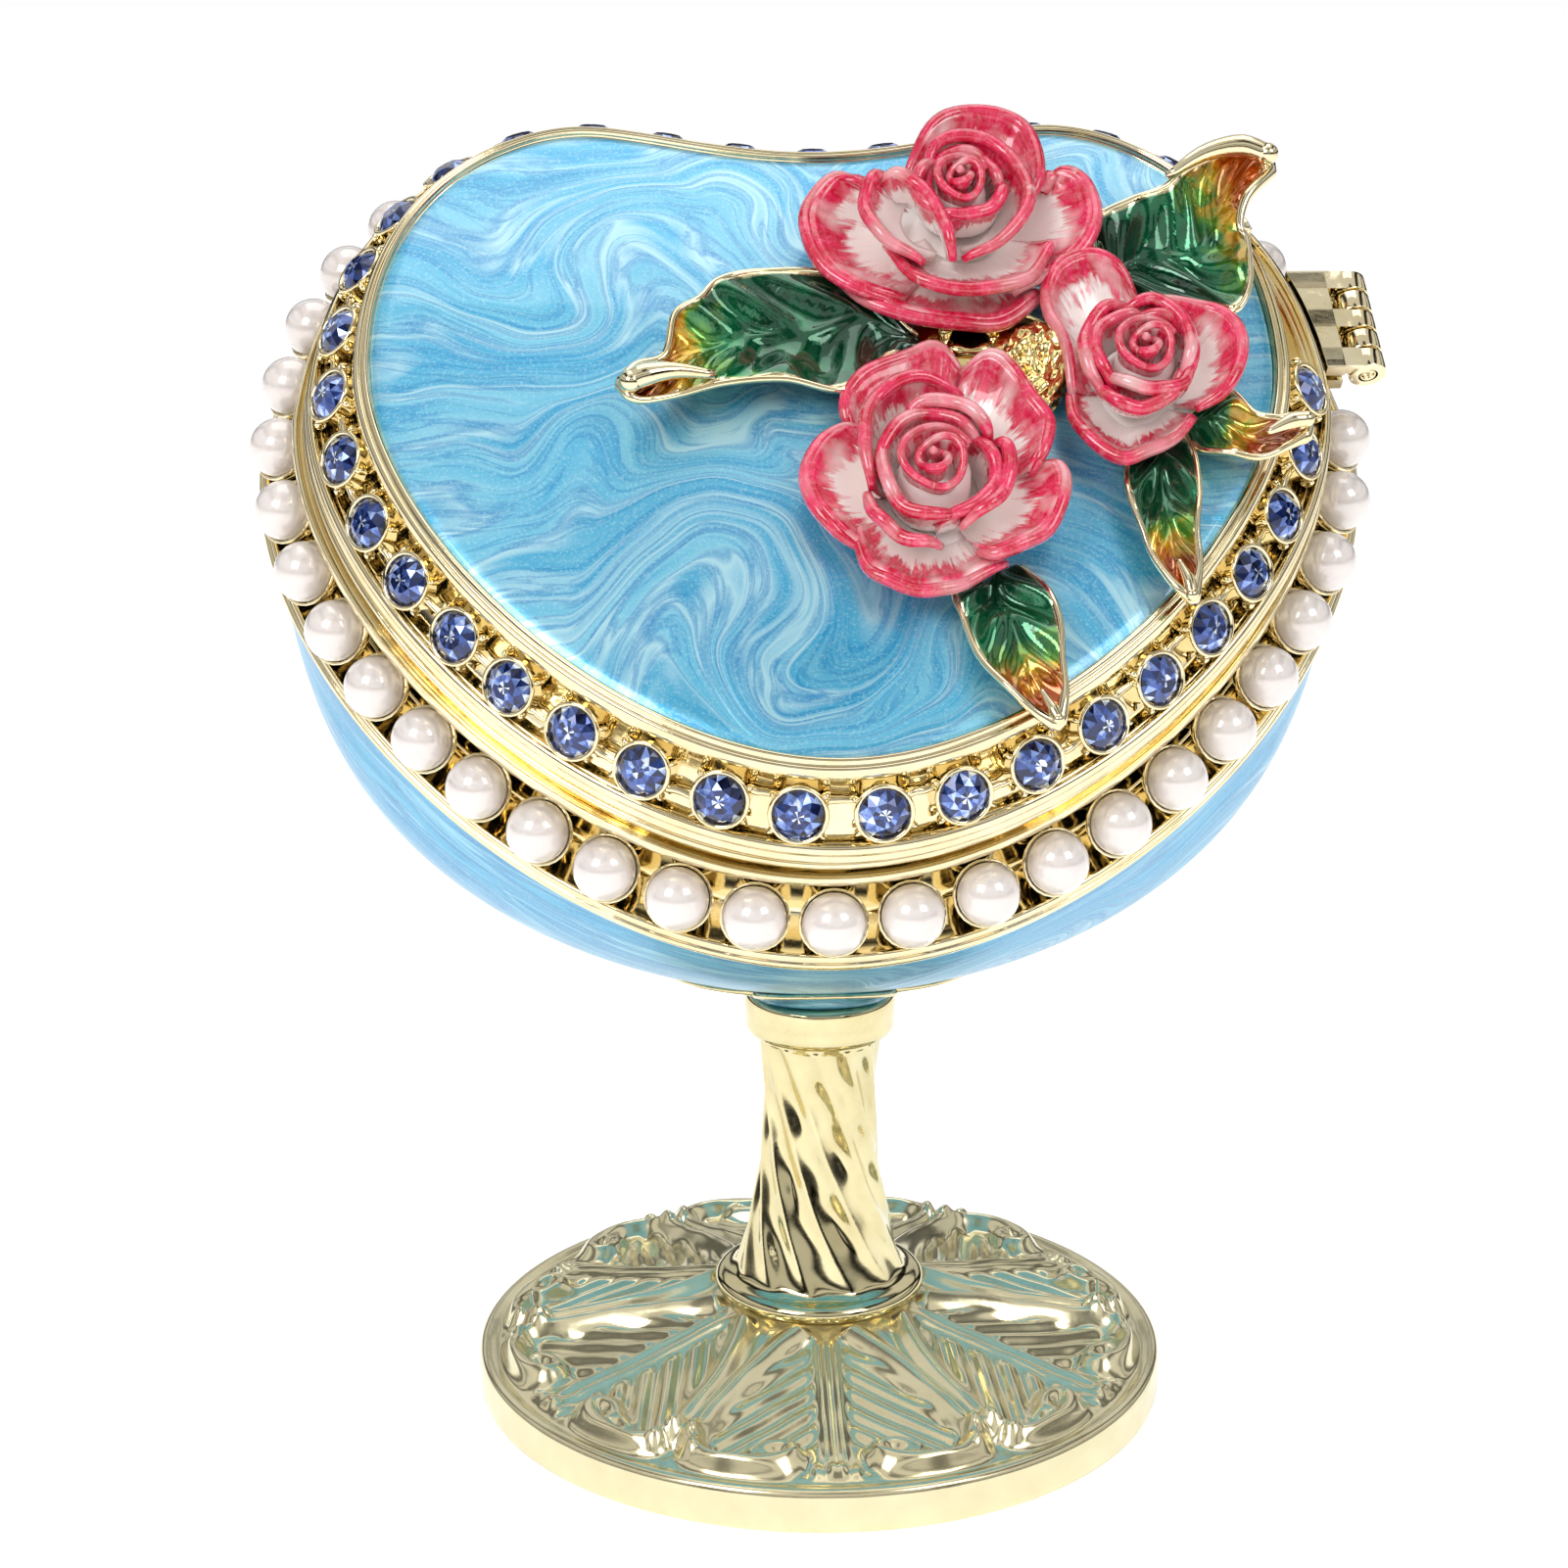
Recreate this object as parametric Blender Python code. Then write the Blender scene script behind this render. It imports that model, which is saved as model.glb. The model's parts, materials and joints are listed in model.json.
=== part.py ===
"""Jewelled trinket box: a heart-shaped lid on a deep half-egg bowl, tilted forward on a twisted stem
and a round foot, with a band of blue stones, a row of pearls and a spray of roses.

Every size below is in millimetres and the mesh builder turns it into metres. +Z is up and the box
faces -Y. The foot's underside is centred on the origin. The pieces of the box are drawn in the box's
own frame, whose z = 0 is the seam between lid and bowl, x is across and y runs up the heart.
"""

import math

import bmesh
import bpy
from mathutils import Euler, Matrix, Vector

MM = 0.001
TURN = 2 * math.pi

# Foot
FOOT_RADIUS = 17.9
FOOT_EDGE = 2.25
FOOT_EDGE_ROUND = 0.35
FOOT_NECK_RADIUS = 5.0
FOOT_NECK_HEIGHT = 5.0
FOOT_LEAVES = 6
FOOT_LEAF_RELIEF = 0.75
FOOT_SECTORS = 54

# Stem, which stands on the foot's neck
SOLDER_GAP = 0.05
STEM_HEIGHT = 16.5
RING_RADIUS = 5.45
RING_HEIGHT = 1.1
COLUMN_FOOT_RADIUS = 4.4
COLUMN_RADIUS = 2.9
COLUMN_TOP_RADIUS = 3.1
COLLAR_RADIUS = 3.85
COLLAR_HEIGHT = 2.3
FLUTES = 12
FLUTE_DEPTH = 0.3
FLUTE_TWIST = math.radians(115)

# Calyx, the leaf plate that carries the bowl
CALYX_PETALS = 4
CALYX_REACH = 8.0
CALYX_VALLEY = 4.6
CALYX_CORE = 0.5
CALYX_EDGE = 0.45
CALYX_EDGE_ROUND = 0.1
CALYX_BOTTOM_RADIUS = 3.3
BOWL_SEAT_GAP = 0.15

# The heart, as half an outline in the box's own frame
HEART_HALF_WIDTH = 22.0
HEART_WIDEST = 1.9
HEART_BOTTOM = -20.2
HEART_LOBE_SPAN = 11.7
HEART_LOBE_TOP = 15.7
HEART_NOTCH = 14.0
HEART_HANDLES = (10.4, 9.3, 11.0, 3.0, 2.8, 4.4)
OUTLINE_STEPS = (8, 8, 5)

# Box
BOX_TILT = math.radians(46)
SEAM_GAP = 0.1
WALL = 1.3
LIP_REACH = 3.25
BORDER_NARROW = 0.3
CHANNEL_REACH = 3.05
CHANNEL_TOP = -1.4
CHANNEL_DEPTH = 3.6
LOWER_LIP_REACH = 5.0
LIP_THICKNESS = 1.1
LIP_STEP = 0.5
BOWL_SHIFT = -0.2
# How far the bowl's round stands out past the enamel's edge, at its sides and at its ends
BOWL_SIDE_SWELL = 1.9
BOWL_END_SWELL = 0.5
BOWL_HALF_WIDTH = HEART_HALF_WIDTH + LOWER_LIP_REACH - LIP_STEP + BOWL_SIDE_SWELL
BOWL_HALF_HEIGHT = (HEART_LOBE_TOP - HEART_BOTTOM) / 2 + LOWER_LIP_REACH - LIP_STEP + BOWL_END_SWELL
BOWL_DEPTH = 22.4
# 1 makes the bowl an ellipsoid, and more makes it narrower toward its bottom, as an egg is
BOWL_POINT = 1.2
BOWL_ROUND_BY = math.radians(28)

# Lid
RIDGE_HEIGHT = 4.35
RIDGE_WIDTH = 0.6
PANEL_RISE = 1.2
RIDGE_SHARE = 0.85
BAND_TOP = 3.05
BAND_REACH = 2.6
BAND_BOTTOM = 1.0

# Trimmings
PEARL_RADIUS = 1.5
PEARL_GAP = 0.1
PEARL_PITCH = 3.76
STONE_RADIUS = 1.3
STONE_STAND = 0.75
STONE_SINK = 0.4
STONE_PITCH = 3.76

# Hinge at the lid's right side: its axis runs beside the rim, in the plane of the seam
HINGE_ASIDE = 5.15
HINGE_UP = 4.4
HINGE_MIDDLE = (HEART_HALF_WIDTH + HINGE_ASIDE, HEART_WIDEST + HINGE_UP)
HINGE_LEAN = math.radians(5)
HINGE_AXIS_HEIGHT = 0.15
HINGE_LENGTH = 5.9
HINGE_KNUCKLES = 5
HINGE_RADIUS = 0.95
HINGE_LEAF = 0.72
HINGE_GAP = 0.1
PIN_RADIUS = 0.42
HINGE_SIDES = 16

# Rose spray, in the box's frame: middle, radius, height and turn of each rose
SPRAY_LIFT = 0.25
ROSES = {
    "top": ((6.7, 8.6), (7.1, 5.6), 4.6, 0.3),
    "front": ((4.8, -5.9), (5.9, 6.4), 4.6, 1.1),
    "right": ((14.9, -0.2), (4.9, 5.2), 4.4, 2.0),
}
ROSE_SECTORS = 20
# Base, tip, half-width, height of the tip over the panel, and lift of the middle
LEAVES = {
    "left": ((8.8, 2.6), (-9.6, -2.4), 3.6, 1.6, 0.5),
    "upper": ((12.4, 5.2), (22.0, 10.9), 3.6, 3.0, 0.5),
    "side": ((16.4, -1.6), (22.6, -4.0), 1.4, 1.4, 0.5),
    "lower": ((15.0, -3.6), (16.6, -12.4), 1.9, 0.6, 0.7),
    "bottom": ((5.6, -10.2), (10.0, -18.4), 2.1, 0.5, 0.7),
}
LEAF_STATIONS = 5
LEAF_THICKNESS = 0.7
PATCH_MIDDLE = (10.3, 1.0)
PATCH_RADIUS = 2.6


def clear_scene():
    for thing in list(bpy.data.objects):
        bpy.data.objects.remove(thing, do_unlink=True)


def material(name, colour, roughness, metallic):
    made = bpy.data.materials.new(name)
    made.use_nodes = True
    shader = made.node_tree.nodes["Principled BSDF"]
    shader.inputs["Base Color"].default_value = (*colour, 1)
    shader.inputs["Roughness"].default_value = roughness
    shader.inputs["Metallic"].default_value = metallic
    made.diffuse_color = (*colour, 1)
    return made


def make_object(name, mesh, finish, parent=None):
    obj = bpy.data.objects.new(name, mesh)
    bpy.context.scene.collection.objects.link(obj)
    if finish:
        mesh.materials.append(finish)
    obj.parent = parent
    return obj


def skin(name, rings):
    """A closed mesh over rings of points with equal counts. A ring of one point is a pole, and an
    end ring of several points is capped by one face."""
    form = bmesh.new()
    rows = [[form.verts.new(Vector(point) * MM) for point in ring] for ring in rings]
    for low, high in zip(rows, rows[1:]):
        count = max(len(low), len(high))
        for i in range(count):
            j = (i + 1) % count
            if len(low) == 1:
                form.faces.new((low[0], high[i], high[j]))
            elif len(high) == 1:
                form.faces.new((low[i], high[0], low[j]))
            else:
                form.faces.new((low[i], high[i], high[j], low[j]))
    for end in (rows[0], rows[-1]):
        if len(end) > 1:
            form.faces.new(end)
    bmesh.ops.recalc_face_normals(form, faces=form.faces)
    mesh = bpy.data.meshes.new(name)
    form.to_mesh(mesh)
    form.free()
    mesh.shade_smooth()
    mesh.set_sharp_from_angle(angle=math.radians(40))
    return mesh


def box_mesh(name, centre, size, lean=0):
    """A block whose long side may lean in the seam's plane."""
    form = bmesh.new()
    bmesh.ops.create_cube(form, size=1)
    place = Matrix.Translation(Vector(centre) * MM) @ Matrix.Rotation(lean, 4, "Z")
    form.transform(place @ Matrix.Diagonal((*[side * MM for side in size], 1)))
    mesh = bpy.data.meshes.new(name)
    form.to_mesh(mesh)
    form.free()
    return mesh


def helper(mesh):
    """An object used only by a Boolean, and left out of the model."""
    obj = make_object("cut_" + mesh.name, mesh, None)
    obj.hide_render = True
    obj.display_type = "WIRE"
    return obj


def combine(base, others, operation):
    """Joins or cuts meshes with exact Booleans, and returns the result as one mesh."""
    body = helper(base)
    tools = [helper(other) for other in others]
    for tool in tools:
        step = body.modifiers.new(tool.name, "BOOLEAN")
        step.operation = operation
        step.solver = "EXACT"
        step.object = tool
    graph = bpy.context.evaluated_depsgraph_get()
    mesh = bpy.data.meshes.new_from_object(body.evaluated_get(graph))
    for used in [body, *tools]:
        bpy.data.objects.remove(used, do_unlink=True)
    mesh.materials.clear()
    return mesh


# The heart outline and its offsets


def bezier(a, b, c, d, t):
    s = 1 - t
    return a * s**3 + 3 * b * s * s * t + 3 * c * s * t * t + d * t**3


def heart_half():
    """The right half from the bottom, round the widest point and the lobe, to the notch."""
    low_x, side_down, side_up, lobe_out, lobe_in, notch_x = HEART_HANDLES
    bottom = Vector((0, HEART_BOTTOM))
    side = Vector((HEART_HALF_WIDTH, HEART_WIDEST))
    lobe = Vector((HEART_LOBE_SPAN, HEART_LOBE_TOP))
    notch = Vector((0, HEART_NOTCH))
    curves = (
        (bottom, bottom + Vector((low_x, 0)), side - Vector((0, side_down)), side),
        (side, side + Vector((0, side_up)), lobe + Vector((lobe_out, 0)), lobe),
        (lobe, lobe - Vector((lobe_in, 0)), notch + Vector((notch_x, 0)), notch),
    )
    points = []
    for (a, b, c, d), steps in zip(curves, OUTLINE_STEPS):
        points += [bezier(a, b, c, d, i / steps) for i in range(steps)]
    return points + [notch]


def heart_outline():
    half = heart_half()
    left = [Vector((-point.x, point.y)) for point in half[-2:0:-1]]
    return half + left


OUTLINE = heart_outline()
COUNT = len(OUTLINE)
HEART_MIDDLE = Vector((0, (HEART_BOTTOM + HEART_LOBE_TOP) / 2))


def outward(i):
    along = (OUTLINE[(i + 1) % COUNT] - OUTLINE[i - 1]).normalized()
    return Vector((along.y, -along.x))


OUTWARDS = [outward(i) for i in range(COUNT)]


def border(at):
    """How wide the border is at a point of the heart: full below, narrower round the lobes."""
    share = (at.y - HEART_WIDEST) / (HEART_LOBE_TOP - HEART_WIDEST)
    return 1 - BORDER_NARROW * min(max(share, 0), 1)


def moved_out(reach, more=0.0):
    """The heart's points moved outward by reach, less round the lobes, and then by more."""
    return [at + normal * (reach * border(at) + more) for at, normal in zip(OUTLINE, OUTWARDS)]


def ring(reach, height, share=1.0, aside=0.0, more=0.0):
    """The heart moved outward by reach, drawn in toward its middle by share, at one height."""
    points = []
    for at in moved_out(reach, more):
        flat = HEART_MIDDLE + (at - HEART_MIDDLE) * share
        points.append((flat.x + aside, flat.y, height))
    return points


def walk(reach, more, pitch, start):
    """Places about one pitch apart along the offset heart: point and outward direction. The first
    is start pitches to the right of the bottom."""
    path = moved_out(reach, more)
    lengths = [(path[(i + 1) % COUNT] - path[i]).length for i in range(COUNT)]
    number = round(sum(lengths) / pitch)
    step = sum(lengths) / number
    places = []
    for k in range(number):
        left = (k + start) * step
        i = 0
        while left > lengths[i]:
            left -= lengths[i]
            i += 1
        share = left / lengths[i]
        at = path[i].lerp(path[(i + 1) % COUNT], share)
        normal = OUTWARDS[i].lerp(OUTWARDS[(i + 1) % COUNT], share).normalized()
        places.append((at, normal))
    return places


def beside_hinge(at, margin):
    """Whether a place on the rim is taken by the hinge."""
    return at.x > 0 and abs(at.y - HINGE_MIDDLE[1]) < HINGE_LENGTH / 2 + margin


# Where the box stands: the bowl rests on the calyx, over the stem's axis

CALYX_SEAT = FOOT_NECK_HEIGHT + STEM_HEIGHT + CALYX_CORE + 2 * SOLDER_GAP
LIP_BOTTOM = CHANNEL_TOP - CHANNEL_DEPTH - LIP_THICKNESS
BOWL_MIDDLE = Vector((BOWL_SHIFT, HEART_MIDDLE.y, LIP_BOTTOM))
BOWL_SEARCH_STEPS = 40
SIN_TILT = math.sin(BOX_TILT)
COS_TILT = math.cos(BOX_TILT)


def to_world(point):
    """From the box's frame to the world, with the box's origin over the stem at height 0."""
    x, y, z = point
    return Vector((x, y * COS_TILT - z * SIN_TILT, y * SIN_TILT + z * COS_TILT))


def bowl_drop(x, y):
    """Height of the bowl's rounded underside over a point of the floor, from the box's origin."""
    middle = to_world(BOWL_MIDDLE)
    dy = y - middle.y
    # In the box's frame a point (x, dy, dz) from the middle has y = dy*cos + dz*sin and
    # z = -dy*sin + dz*cos, and the ellipsoid gives a quadratic in dz.
    wide = 1 / BOWL_HALF_HEIGHT**2
    deep = 1 / BOWL_DEPTH**2
    a = SIN_TILT**2 * wide + COS_TILT**2 * deep
    b = 2 * dy * SIN_TILT * COS_TILT * (wide - deep)
    across = ((x - middle.x) / BOWL_HALF_WIDTH) ** 2
    c = across + dy * dy * (COS_TILT**2 * wide + SIN_TILT**2 * deep) - 1
    inside = -b / (2 * a)
    outside = inside - math.sqrt(b * b - 4 * a * c) / (2 * a)
    # The pointed bowl lies within that ellipsoid, so its skin is found by halving
    for _ in range(BOWL_SEARCH_STEPS):
        dz = (inside + outside) / 2
        upward = dy * COS_TILT + dz * SIN_TILT
        depth = (dy * SIN_TILT - dz * COS_TILT) / BOWL_DEPTH
        if across + upward * upward * wide < max(1 - depth * depth, 0) ** BOWL_POINT:
            inside = dz
        else:
            outside = dz
    return middle.z + outside


BOX_PLACE = Vector((0, 0, CALYX_SEAT + BOWL_SEAT_GAP - bowl_drop(0, 0)))


def bowl_underside(x, y):
    return BOX_PLACE.z + bowl_drop(x, y)


# Foot, stem and calyx


def circle(radius, height, count, start=0.0):
    points = []
    for i in range(count):
        angle = start + TURN * i / count
        points.append((radius * math.cos(angle), radius * math.sin(angle), height))
    return points


def leaf_share(radius, angle):
    """How far a spot of the foot is across its leaf: 0 on the midrib, 1 at the edge, more outside."""
    inner = FOOT_NECK_RADIUS
    outer = FOOT_RADIUS * 0.9
    along = (radius - inner) / (outer - inner)
    pitch = TURN / FOOT_LEAVES
    across = (angle + TURN / 4 + pitch / 2) % pitch - pitch / 2
    half = 0.5 * pitch * (0.5 + 0.42 * math.sin(math.pi * min(max(along, 0), 1) ** 0.8))
    return abs(across) / half, along


def foot_height(radius, angle):
    """The foot's top: a low cone from rim to neck, with two-lobed leaves raised on it."""
    share = (radius - FOOT_NECK_RADIUS) / (FOOT_RADIUS * 0.955 - FOOT_NECK_RADIUS)
    share = min(max(share, 0), 1)
    cone = FOOT_NECK_HEIGHT + (FOOT_EDGE - FOOT_NECK_HEIGHT) * share**0.75
    across, along = leaf_share(radius, angle)
    if across > 1 or not 0 < along < 1:
        return cone
    lobe = math.sin(math.pi * across) ** 0.6
    return cone + FOOT_LEAF_RELIEF * lobe * math.sin(math.pi * along) ** 0.5


def make_foot(gold):
    radii = [0.955, 0.9, 0.8, 0.69, 0.57, 0.45, 0.35]
    rings = [
        circle(FOOT_RADIUS - FOOT_EDGE_ROUND, 0, FOOT_SECTORS),
        circle(FOOT_RADIUS, FOOT_EDGE_ROUND, FOOT_SECTORS),
        circle(FOOT_RADIUS, FOOT_EDGE, FOOT_SECTORS),
        circle(FOOT_RADIUS - FOOT_EDGE_ROUND, FOOT_EDGE + FOOT_EDGE_ROUND / 2, FOOT_SECTORS),
    ]
    for share in radii:
        row = []
        for x, y, _ in circle(FOOT_RADIUS * share, 0, FOOT_SECTORS):
            row.append((x, y, foot_height(FOOT_RADIUS * share, math.atan2(y, x))))
        rings.append(row)
    rings.append(circle(FOOT_NECK_RADIUS, FOOT_NECK_HEIGHT, FOOT_SECTORS))
    return make_object("foot", skin("foot", rings), gold)


def stem_profile():
    """(radius, height, flute depth) rows from the neck to the collar's top."""
    base = FOOT_NECK_HEIGHT + SOLDER_GAP
    ring_top = base + RING_HEIGHT
    top = base + STEM_HEIGHT
    under_collar = top - COLLAR_HEIGHT
    rows = [
        (FOOT_NECK_RADIUS - 0.2, base, 0),
        (RING_RADIUS - 0.15, base + 0.15, 0),
        (RING_RADIUS, base + RING_HEIGHT * 0.5, 0),
        (RING_RADIUS - 0.3, ring_top - 0.1, 0),
        (COLUMN_FOOT_RADIUS + 0.2, ring_top, 0),
    ]
    steps = 9
    for i in range(steps):
        share = i / (steps - 1)
        flare = COLUMN_RADIUS + (COLUMN_FOOT_RADIUS - COLUMN_RADIUS) * (1 - share / 0.75) ** 2
        swell = COLUMN_RADIUS + (COLUMN_TOP_RADIUS - COLUMN_RADIUS) * ((share - 0.75) / 0.25) ** 2
        height = ring_top + 0.15 + (under_collar - 0.45 - ring_top) * share
        depth = FLUTE_DEPTH * math.sin(math.pi * (0.12 + 0.88 * (1 - share))) ** 0.4
        rows.append((flare if share < 0.75 else swell, height, depth))
    rows += [
        (COLUMN_TOP_RADIUS - 0.1, under_collar - 0.05, 0),
        (COLLAR_RADIUS - 0.35, under_collar + 0.15, 0),
        (COLLAR_RADIUS, under_collar + 0.6, 0),
        (COLLAR_RADIUS, top - 0.15, 0),
        (COLLAR_RADIUS - 0.2, top, 0),
    ]
    return rows


def make_stem(gold):
    count = FLUTES * 3
    rows = stem_profile()
    base = rows[0][1]
    rings = []
    for radius, height, depth in rows:
        turn = -FLUTE_TWIST * (height - base) / STEM_HEIGHT
        row = []
        for i in range(count):
            angle = TURN * i / count + turn
            rib = radius - (depth if i % 3 == 0 else 0)
            row.append((rib * math.cos(angle), rib * math.sin(angle), height))
        rings.append(row)
    return make_object("stem", skin("stem", rings), gold)


def calyx_reach(angle):
    """The scalloped edge, with one petal toward the front."""
    wave = abs(math.cos(CALYX_PETALS * (angle + TURN / 4) / 2)) ** 0.7
    return CALYX_VALLEY + (CALYX_REACH - CALYX_VALLEY) * wave


def make_calyx(enamel):
    count = 32
    bottom = FOOT_NECK_HEIGHT + STEM_HEIGHT + 2 * SOLDER_GAP
    rings = [circle(CALYX_BOTTOM_RADIUS, bottom, count)]
    under = []
    edge = []
    for i in range(count):
        angle = TURN * i / count
        reach = calyx_reach(angle)
        x = reach * math.cos(angle)
        y = reach * math.sin(angle)
        top = bowl_underside(x, y) - BOWL_SEAT_GAP
        under.append((0.97 * x, 0.97 * y, top - CALYX_EDGE))
        edge.append((x, y, top - CALYX_EDGE_ROUND))
    rings += [under, edge]
    for share in (0.95, 0.5):
        row = []
        for x, y, _ in edge:
            height = bowl_underside(x * share, y * share) - BOWL_SEAT_GAP
            row.append((x * share, y * share, height))
        rings.append(row)
    rings.append([(0, 0, bowl_underside(0, 0) - BOWL_SEAT_GAP)])
    return make_object("calyx", skin("calyx", rings), enamel)


# Bowl, lid and their beads


def bowl_ring(slope, inset):
    """A ring of the bowl's rounded part: the heart at slope 0, and an ellipse further down."""
    blend = min(slope / BOWL_ROUND_BY, 1)
    blend = blend * blend * (3 - 2 * blend)
    reach = LOWER_LIP_REACH - LIP_STEP - inset
    narrow = math.cos(slope) ** BOWL_POINT
    points = []
    for at in moved_out(reach):
        heart = at - HEART_MIDDLE
        turn = math.atan2(heart.y / BOWL_HALF_HEIGHT, heart.x / BOWL_HALF_WIDTH)
        across = (BOWL_HALF_WIDTH - inset) * math.cos(turn)
        upward = (BOWL_HALF_HEIGHT - inset) * math.sin(turn)
        flat = heart.lerp(Vector((across, upward)), blend) * narrow + HEART_MIDDLE
        low = LIP_BOTTOM - (BOWL_DEPTH - inset) * math.sin(slope)
        points.append((flat.x + BOWL_SHIFT, flat.y, low))
    return points


def make_bowl(enamel, parent):
    top = -SEAM_GAP / 2
    floor_low = CHANNEL_TOP - CHANNEL_DEPTH
    pole = (BOWL_SHIFT, HEART_MIDDLE.y)
    rings = [[(*pole, LIP_BOTTOM - BOWL_DEPTH)]]
    for degrees in (78, 64, 50, 37, 25, 14, 5):
        rings.append(bowl_ring(math.radians(degrees), 0))
    rim = (
        (LOWER_LIP_REACH - 0.35, LIP_BOTTOM + 0.15),
        (LOWER_LIP_REACH, LIP_BOTTOM + 0.5),
        (LOWER_LIP_REACH - 0.15, floor_low),
        (CHANNEL_REACH, floor_low),
        (CHANNEL_REACH, CHANNEL_TOP),
        (LIP_REACH + 0.15, CHANNEL_TOP + 0.1),
        (LIP_REACH + 0.3, -0.75),
        (LIP_REACH - 0.05, top),
    )
    rings += [ring(reach, height, aside=BOWL_SHIFT) for reach, height in rim]
    for height in (top, LIP_BOTTOM):
        rings.append(ring(CHANNEL_REACH, height, aside=BOWL_SHIFT, more=-WALL))
    for degrees in (18, 42, 66):
        slope = math.radians(degrees)
        rings.append(bowl_ring(slope, WALL * (2 - slope / 1.3)))
    rings.append([(*pole, LIP_BOTTOM - BOWL_DEPTH + WALL)])
    return make_object("bowl", skin("bowl", rings), enamel, parent)


def pearl_mesh():
    form = bmesh.new()
    bmesh.ops.create_uvsphere(form, u_segments=8, v_segments=4, radius=PEARL_RADIUS * MM)
    mesh = bpy.data.meshes.new("pearl")
    form.to_mesh(mesh)
    form.free()
    mesh.shade_smooth()
    return mesh


def make_pearls(pearl, parent):
    mesh = pearl_mesh()
    mesh.materials.append(pearl)
    height = CHANNEL_TOP - CHANNEL_DEPTH / 2
    number = 0
    for at, _ in walk(CHANNEL_REACH, PEARL_GAP + PEARL_RADIUS, PEARL_PITCH, 0):
        if beside_hinge(at, PEARL_RADIUS * 0.7):
            continue
        number += 1
        obj = bpy.data.objects.new(f"pearl_{number:02d}", mesh)
        bpy.context.scene.collection.objects.link(obj)
        obj.parent = parent
        obj.location = Vector((at.x + BOWL_SHIFT, at.y, height)) * MM


def lid_shell():
    low = SEAM_GAP / 2
    panel = RIDGE_HEIGHT - 0.25
    rings = [[(0, HEART_MIDDLE.y, panel + PANEL_RISE)]]
    for share in (0.4, 0.75):
        rings.append(ring(0, panel + PANEL_RISE * (1 - share**2), share))
    rings += [
        ring(0, panel),
        ring(0.12, RIDGE_HEIGHT),
        ring(RIDGE_WIDTH - 0.12, RIDGE_HEIGHT - 0.05),
        ring(RIDGE_WIDTH, BAND_TOP),
        ring(BAND_REACH, BAND_BOTTOM),
        ring(BAND_REACH + 0.2, BAND_BOTTOM + 0.1),
        ring(LIP_REACH - 0.1, BAND_BOTTOM),
        ring(LIP_REACH, BAND_BOTTOM - 0.4),
        ring(LIP_REACH - 0.1, low),
        ring(CHANNEL_REACH, low, more=-WALL),
        ring(CHANNEL_REACH, 0.3, more=-WALL - 0.1),
        ring(0, panel - WALL, more=-0.9),
        ring(0, panel + PANEL_RISE * 0.75 - WALL, 0.5),
        [(0, HEART_MIDDLE.y, panel + PANEL_RISE - WALL)],
    ]
    return skin("lid", rings)


def stone_stud(at, normal, number):
    """One bezel with its stone, as a low faceted dome on the band's slope."""
    drop = BAND_TOP - BAND_BOTTOM
    run = BAND_REACH - RIDGE_WIDTH
    axis = Vector((normal.x * drop, normal.y * drop, run)).normalized()
    across = Vector((-normal.y, normal.x, 0))
    up = axis.cross(across)
    middle = Vector((at.x, at.y, (BAND_TOP + BAND_BOTTOM) / 2))
    rings = []
    levels = ((STONE_RADIUS, -STONE_SINK), (STONE_RADIUS * 0.75, STONE_STAND))
    for radius, height in levels:
        row = []
        for i in range(6):
            turn = TURN * i / 6
            row.append(middle + axis * height + (across * math.cos(turn) + up * math.sin(turn)) * radius)
        rings.append(row)
    return skin(f"stud_{number}", rings)


def make_lid(gold, parent, origin):
    studs = []
    for at, normal in walk((RIDGE_WIDTH + BAND_REACH) / 2, 0, STONE_PITCH, 0.5):
        if not beside_hinge(at, 0.2):
            studs.append(stone_stud(at, normal, len(studs)))
    mesh = combine(lid_shell(), studs, "UNION")
    mesh.transform(Matrix.Translation(-origin * MM))
    return make_object("lid", mesh, gold, parent)


# Hinge


def hinge_places():
    """(middle, length) of each knuckle along the axis, from the front."""
    step = HINGE_LENGTH / HINGE_KNUCKLES
    return [(-HINGE_LENGTH / 2 + step * (i + 0.5), step - HINGE_GAP) for i in range(HINGE_KNUCKLES)]


def on_axis(distance, aside=0.0, height=0.0):
    """A point by the hinge's axis: distance along it from its middle, aside away from the box."""
    x = HINGE_MIDDLE[0] - distance * math.sin(HINGE_LEAN) + aside * math.cos(HINGE_LEAN)
    y = HINGE_MIDDLE[1] + distance * math.cos(HINGE_LEAN) + aside * math.sin(HINGE_LEAN)
    return Vector((x, y, HINGE_AXIS_HEIGHT + height))


def rod(name, start, length, radius, sides):
    """A cylinder along the hinge's axis."""
    rings = []
    for end in (start - length / 2, start + length / 2):
        row = []
        for i in range(sides):
            turn = TURN * (i + 0.5) / sides
            row.append(on_axis(end, radius * math.cos(turn), radius * math.sin(turn)))
        rings.append(row)
    return skin(name, rings)


def leaf_plate(name, low, high, reach, aside):
    """The flat leaf from the rim to the axis: its inner edge follows the rim."""
    half = HINGE_LENGTH / 2 - HINGE_GAP / 2
    first = on_axis(-half)
    last = on_axis(half)
    inner = []
    steps = 5
    for i in range(steps):
        y = last.y + (first.y - last.y) * i / (steps - 1)
        inner.append((rim_x(y, reach) + aside, y))
    outline = [(first.x, first.y), (last.x, last.y)] + inner
    rings = [[(x, y, height) for x, y in outline] for height in (low, high)]
    return skin(name, rings)


def rim_x(y, reach):
    """How far out the offset heart is at a height on its right side."""
    path = moved_out(reach)
    for a, b in zip(path, path[1:]):
        if a.x > HEART_LOBE_SPAN and a.y <= y <= b.y:
            return a.x + (b.x - a.x) * (y - a.y) / (b.y - a.y)
    raise ValueError("the hinge lies past the side of the heart")


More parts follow.
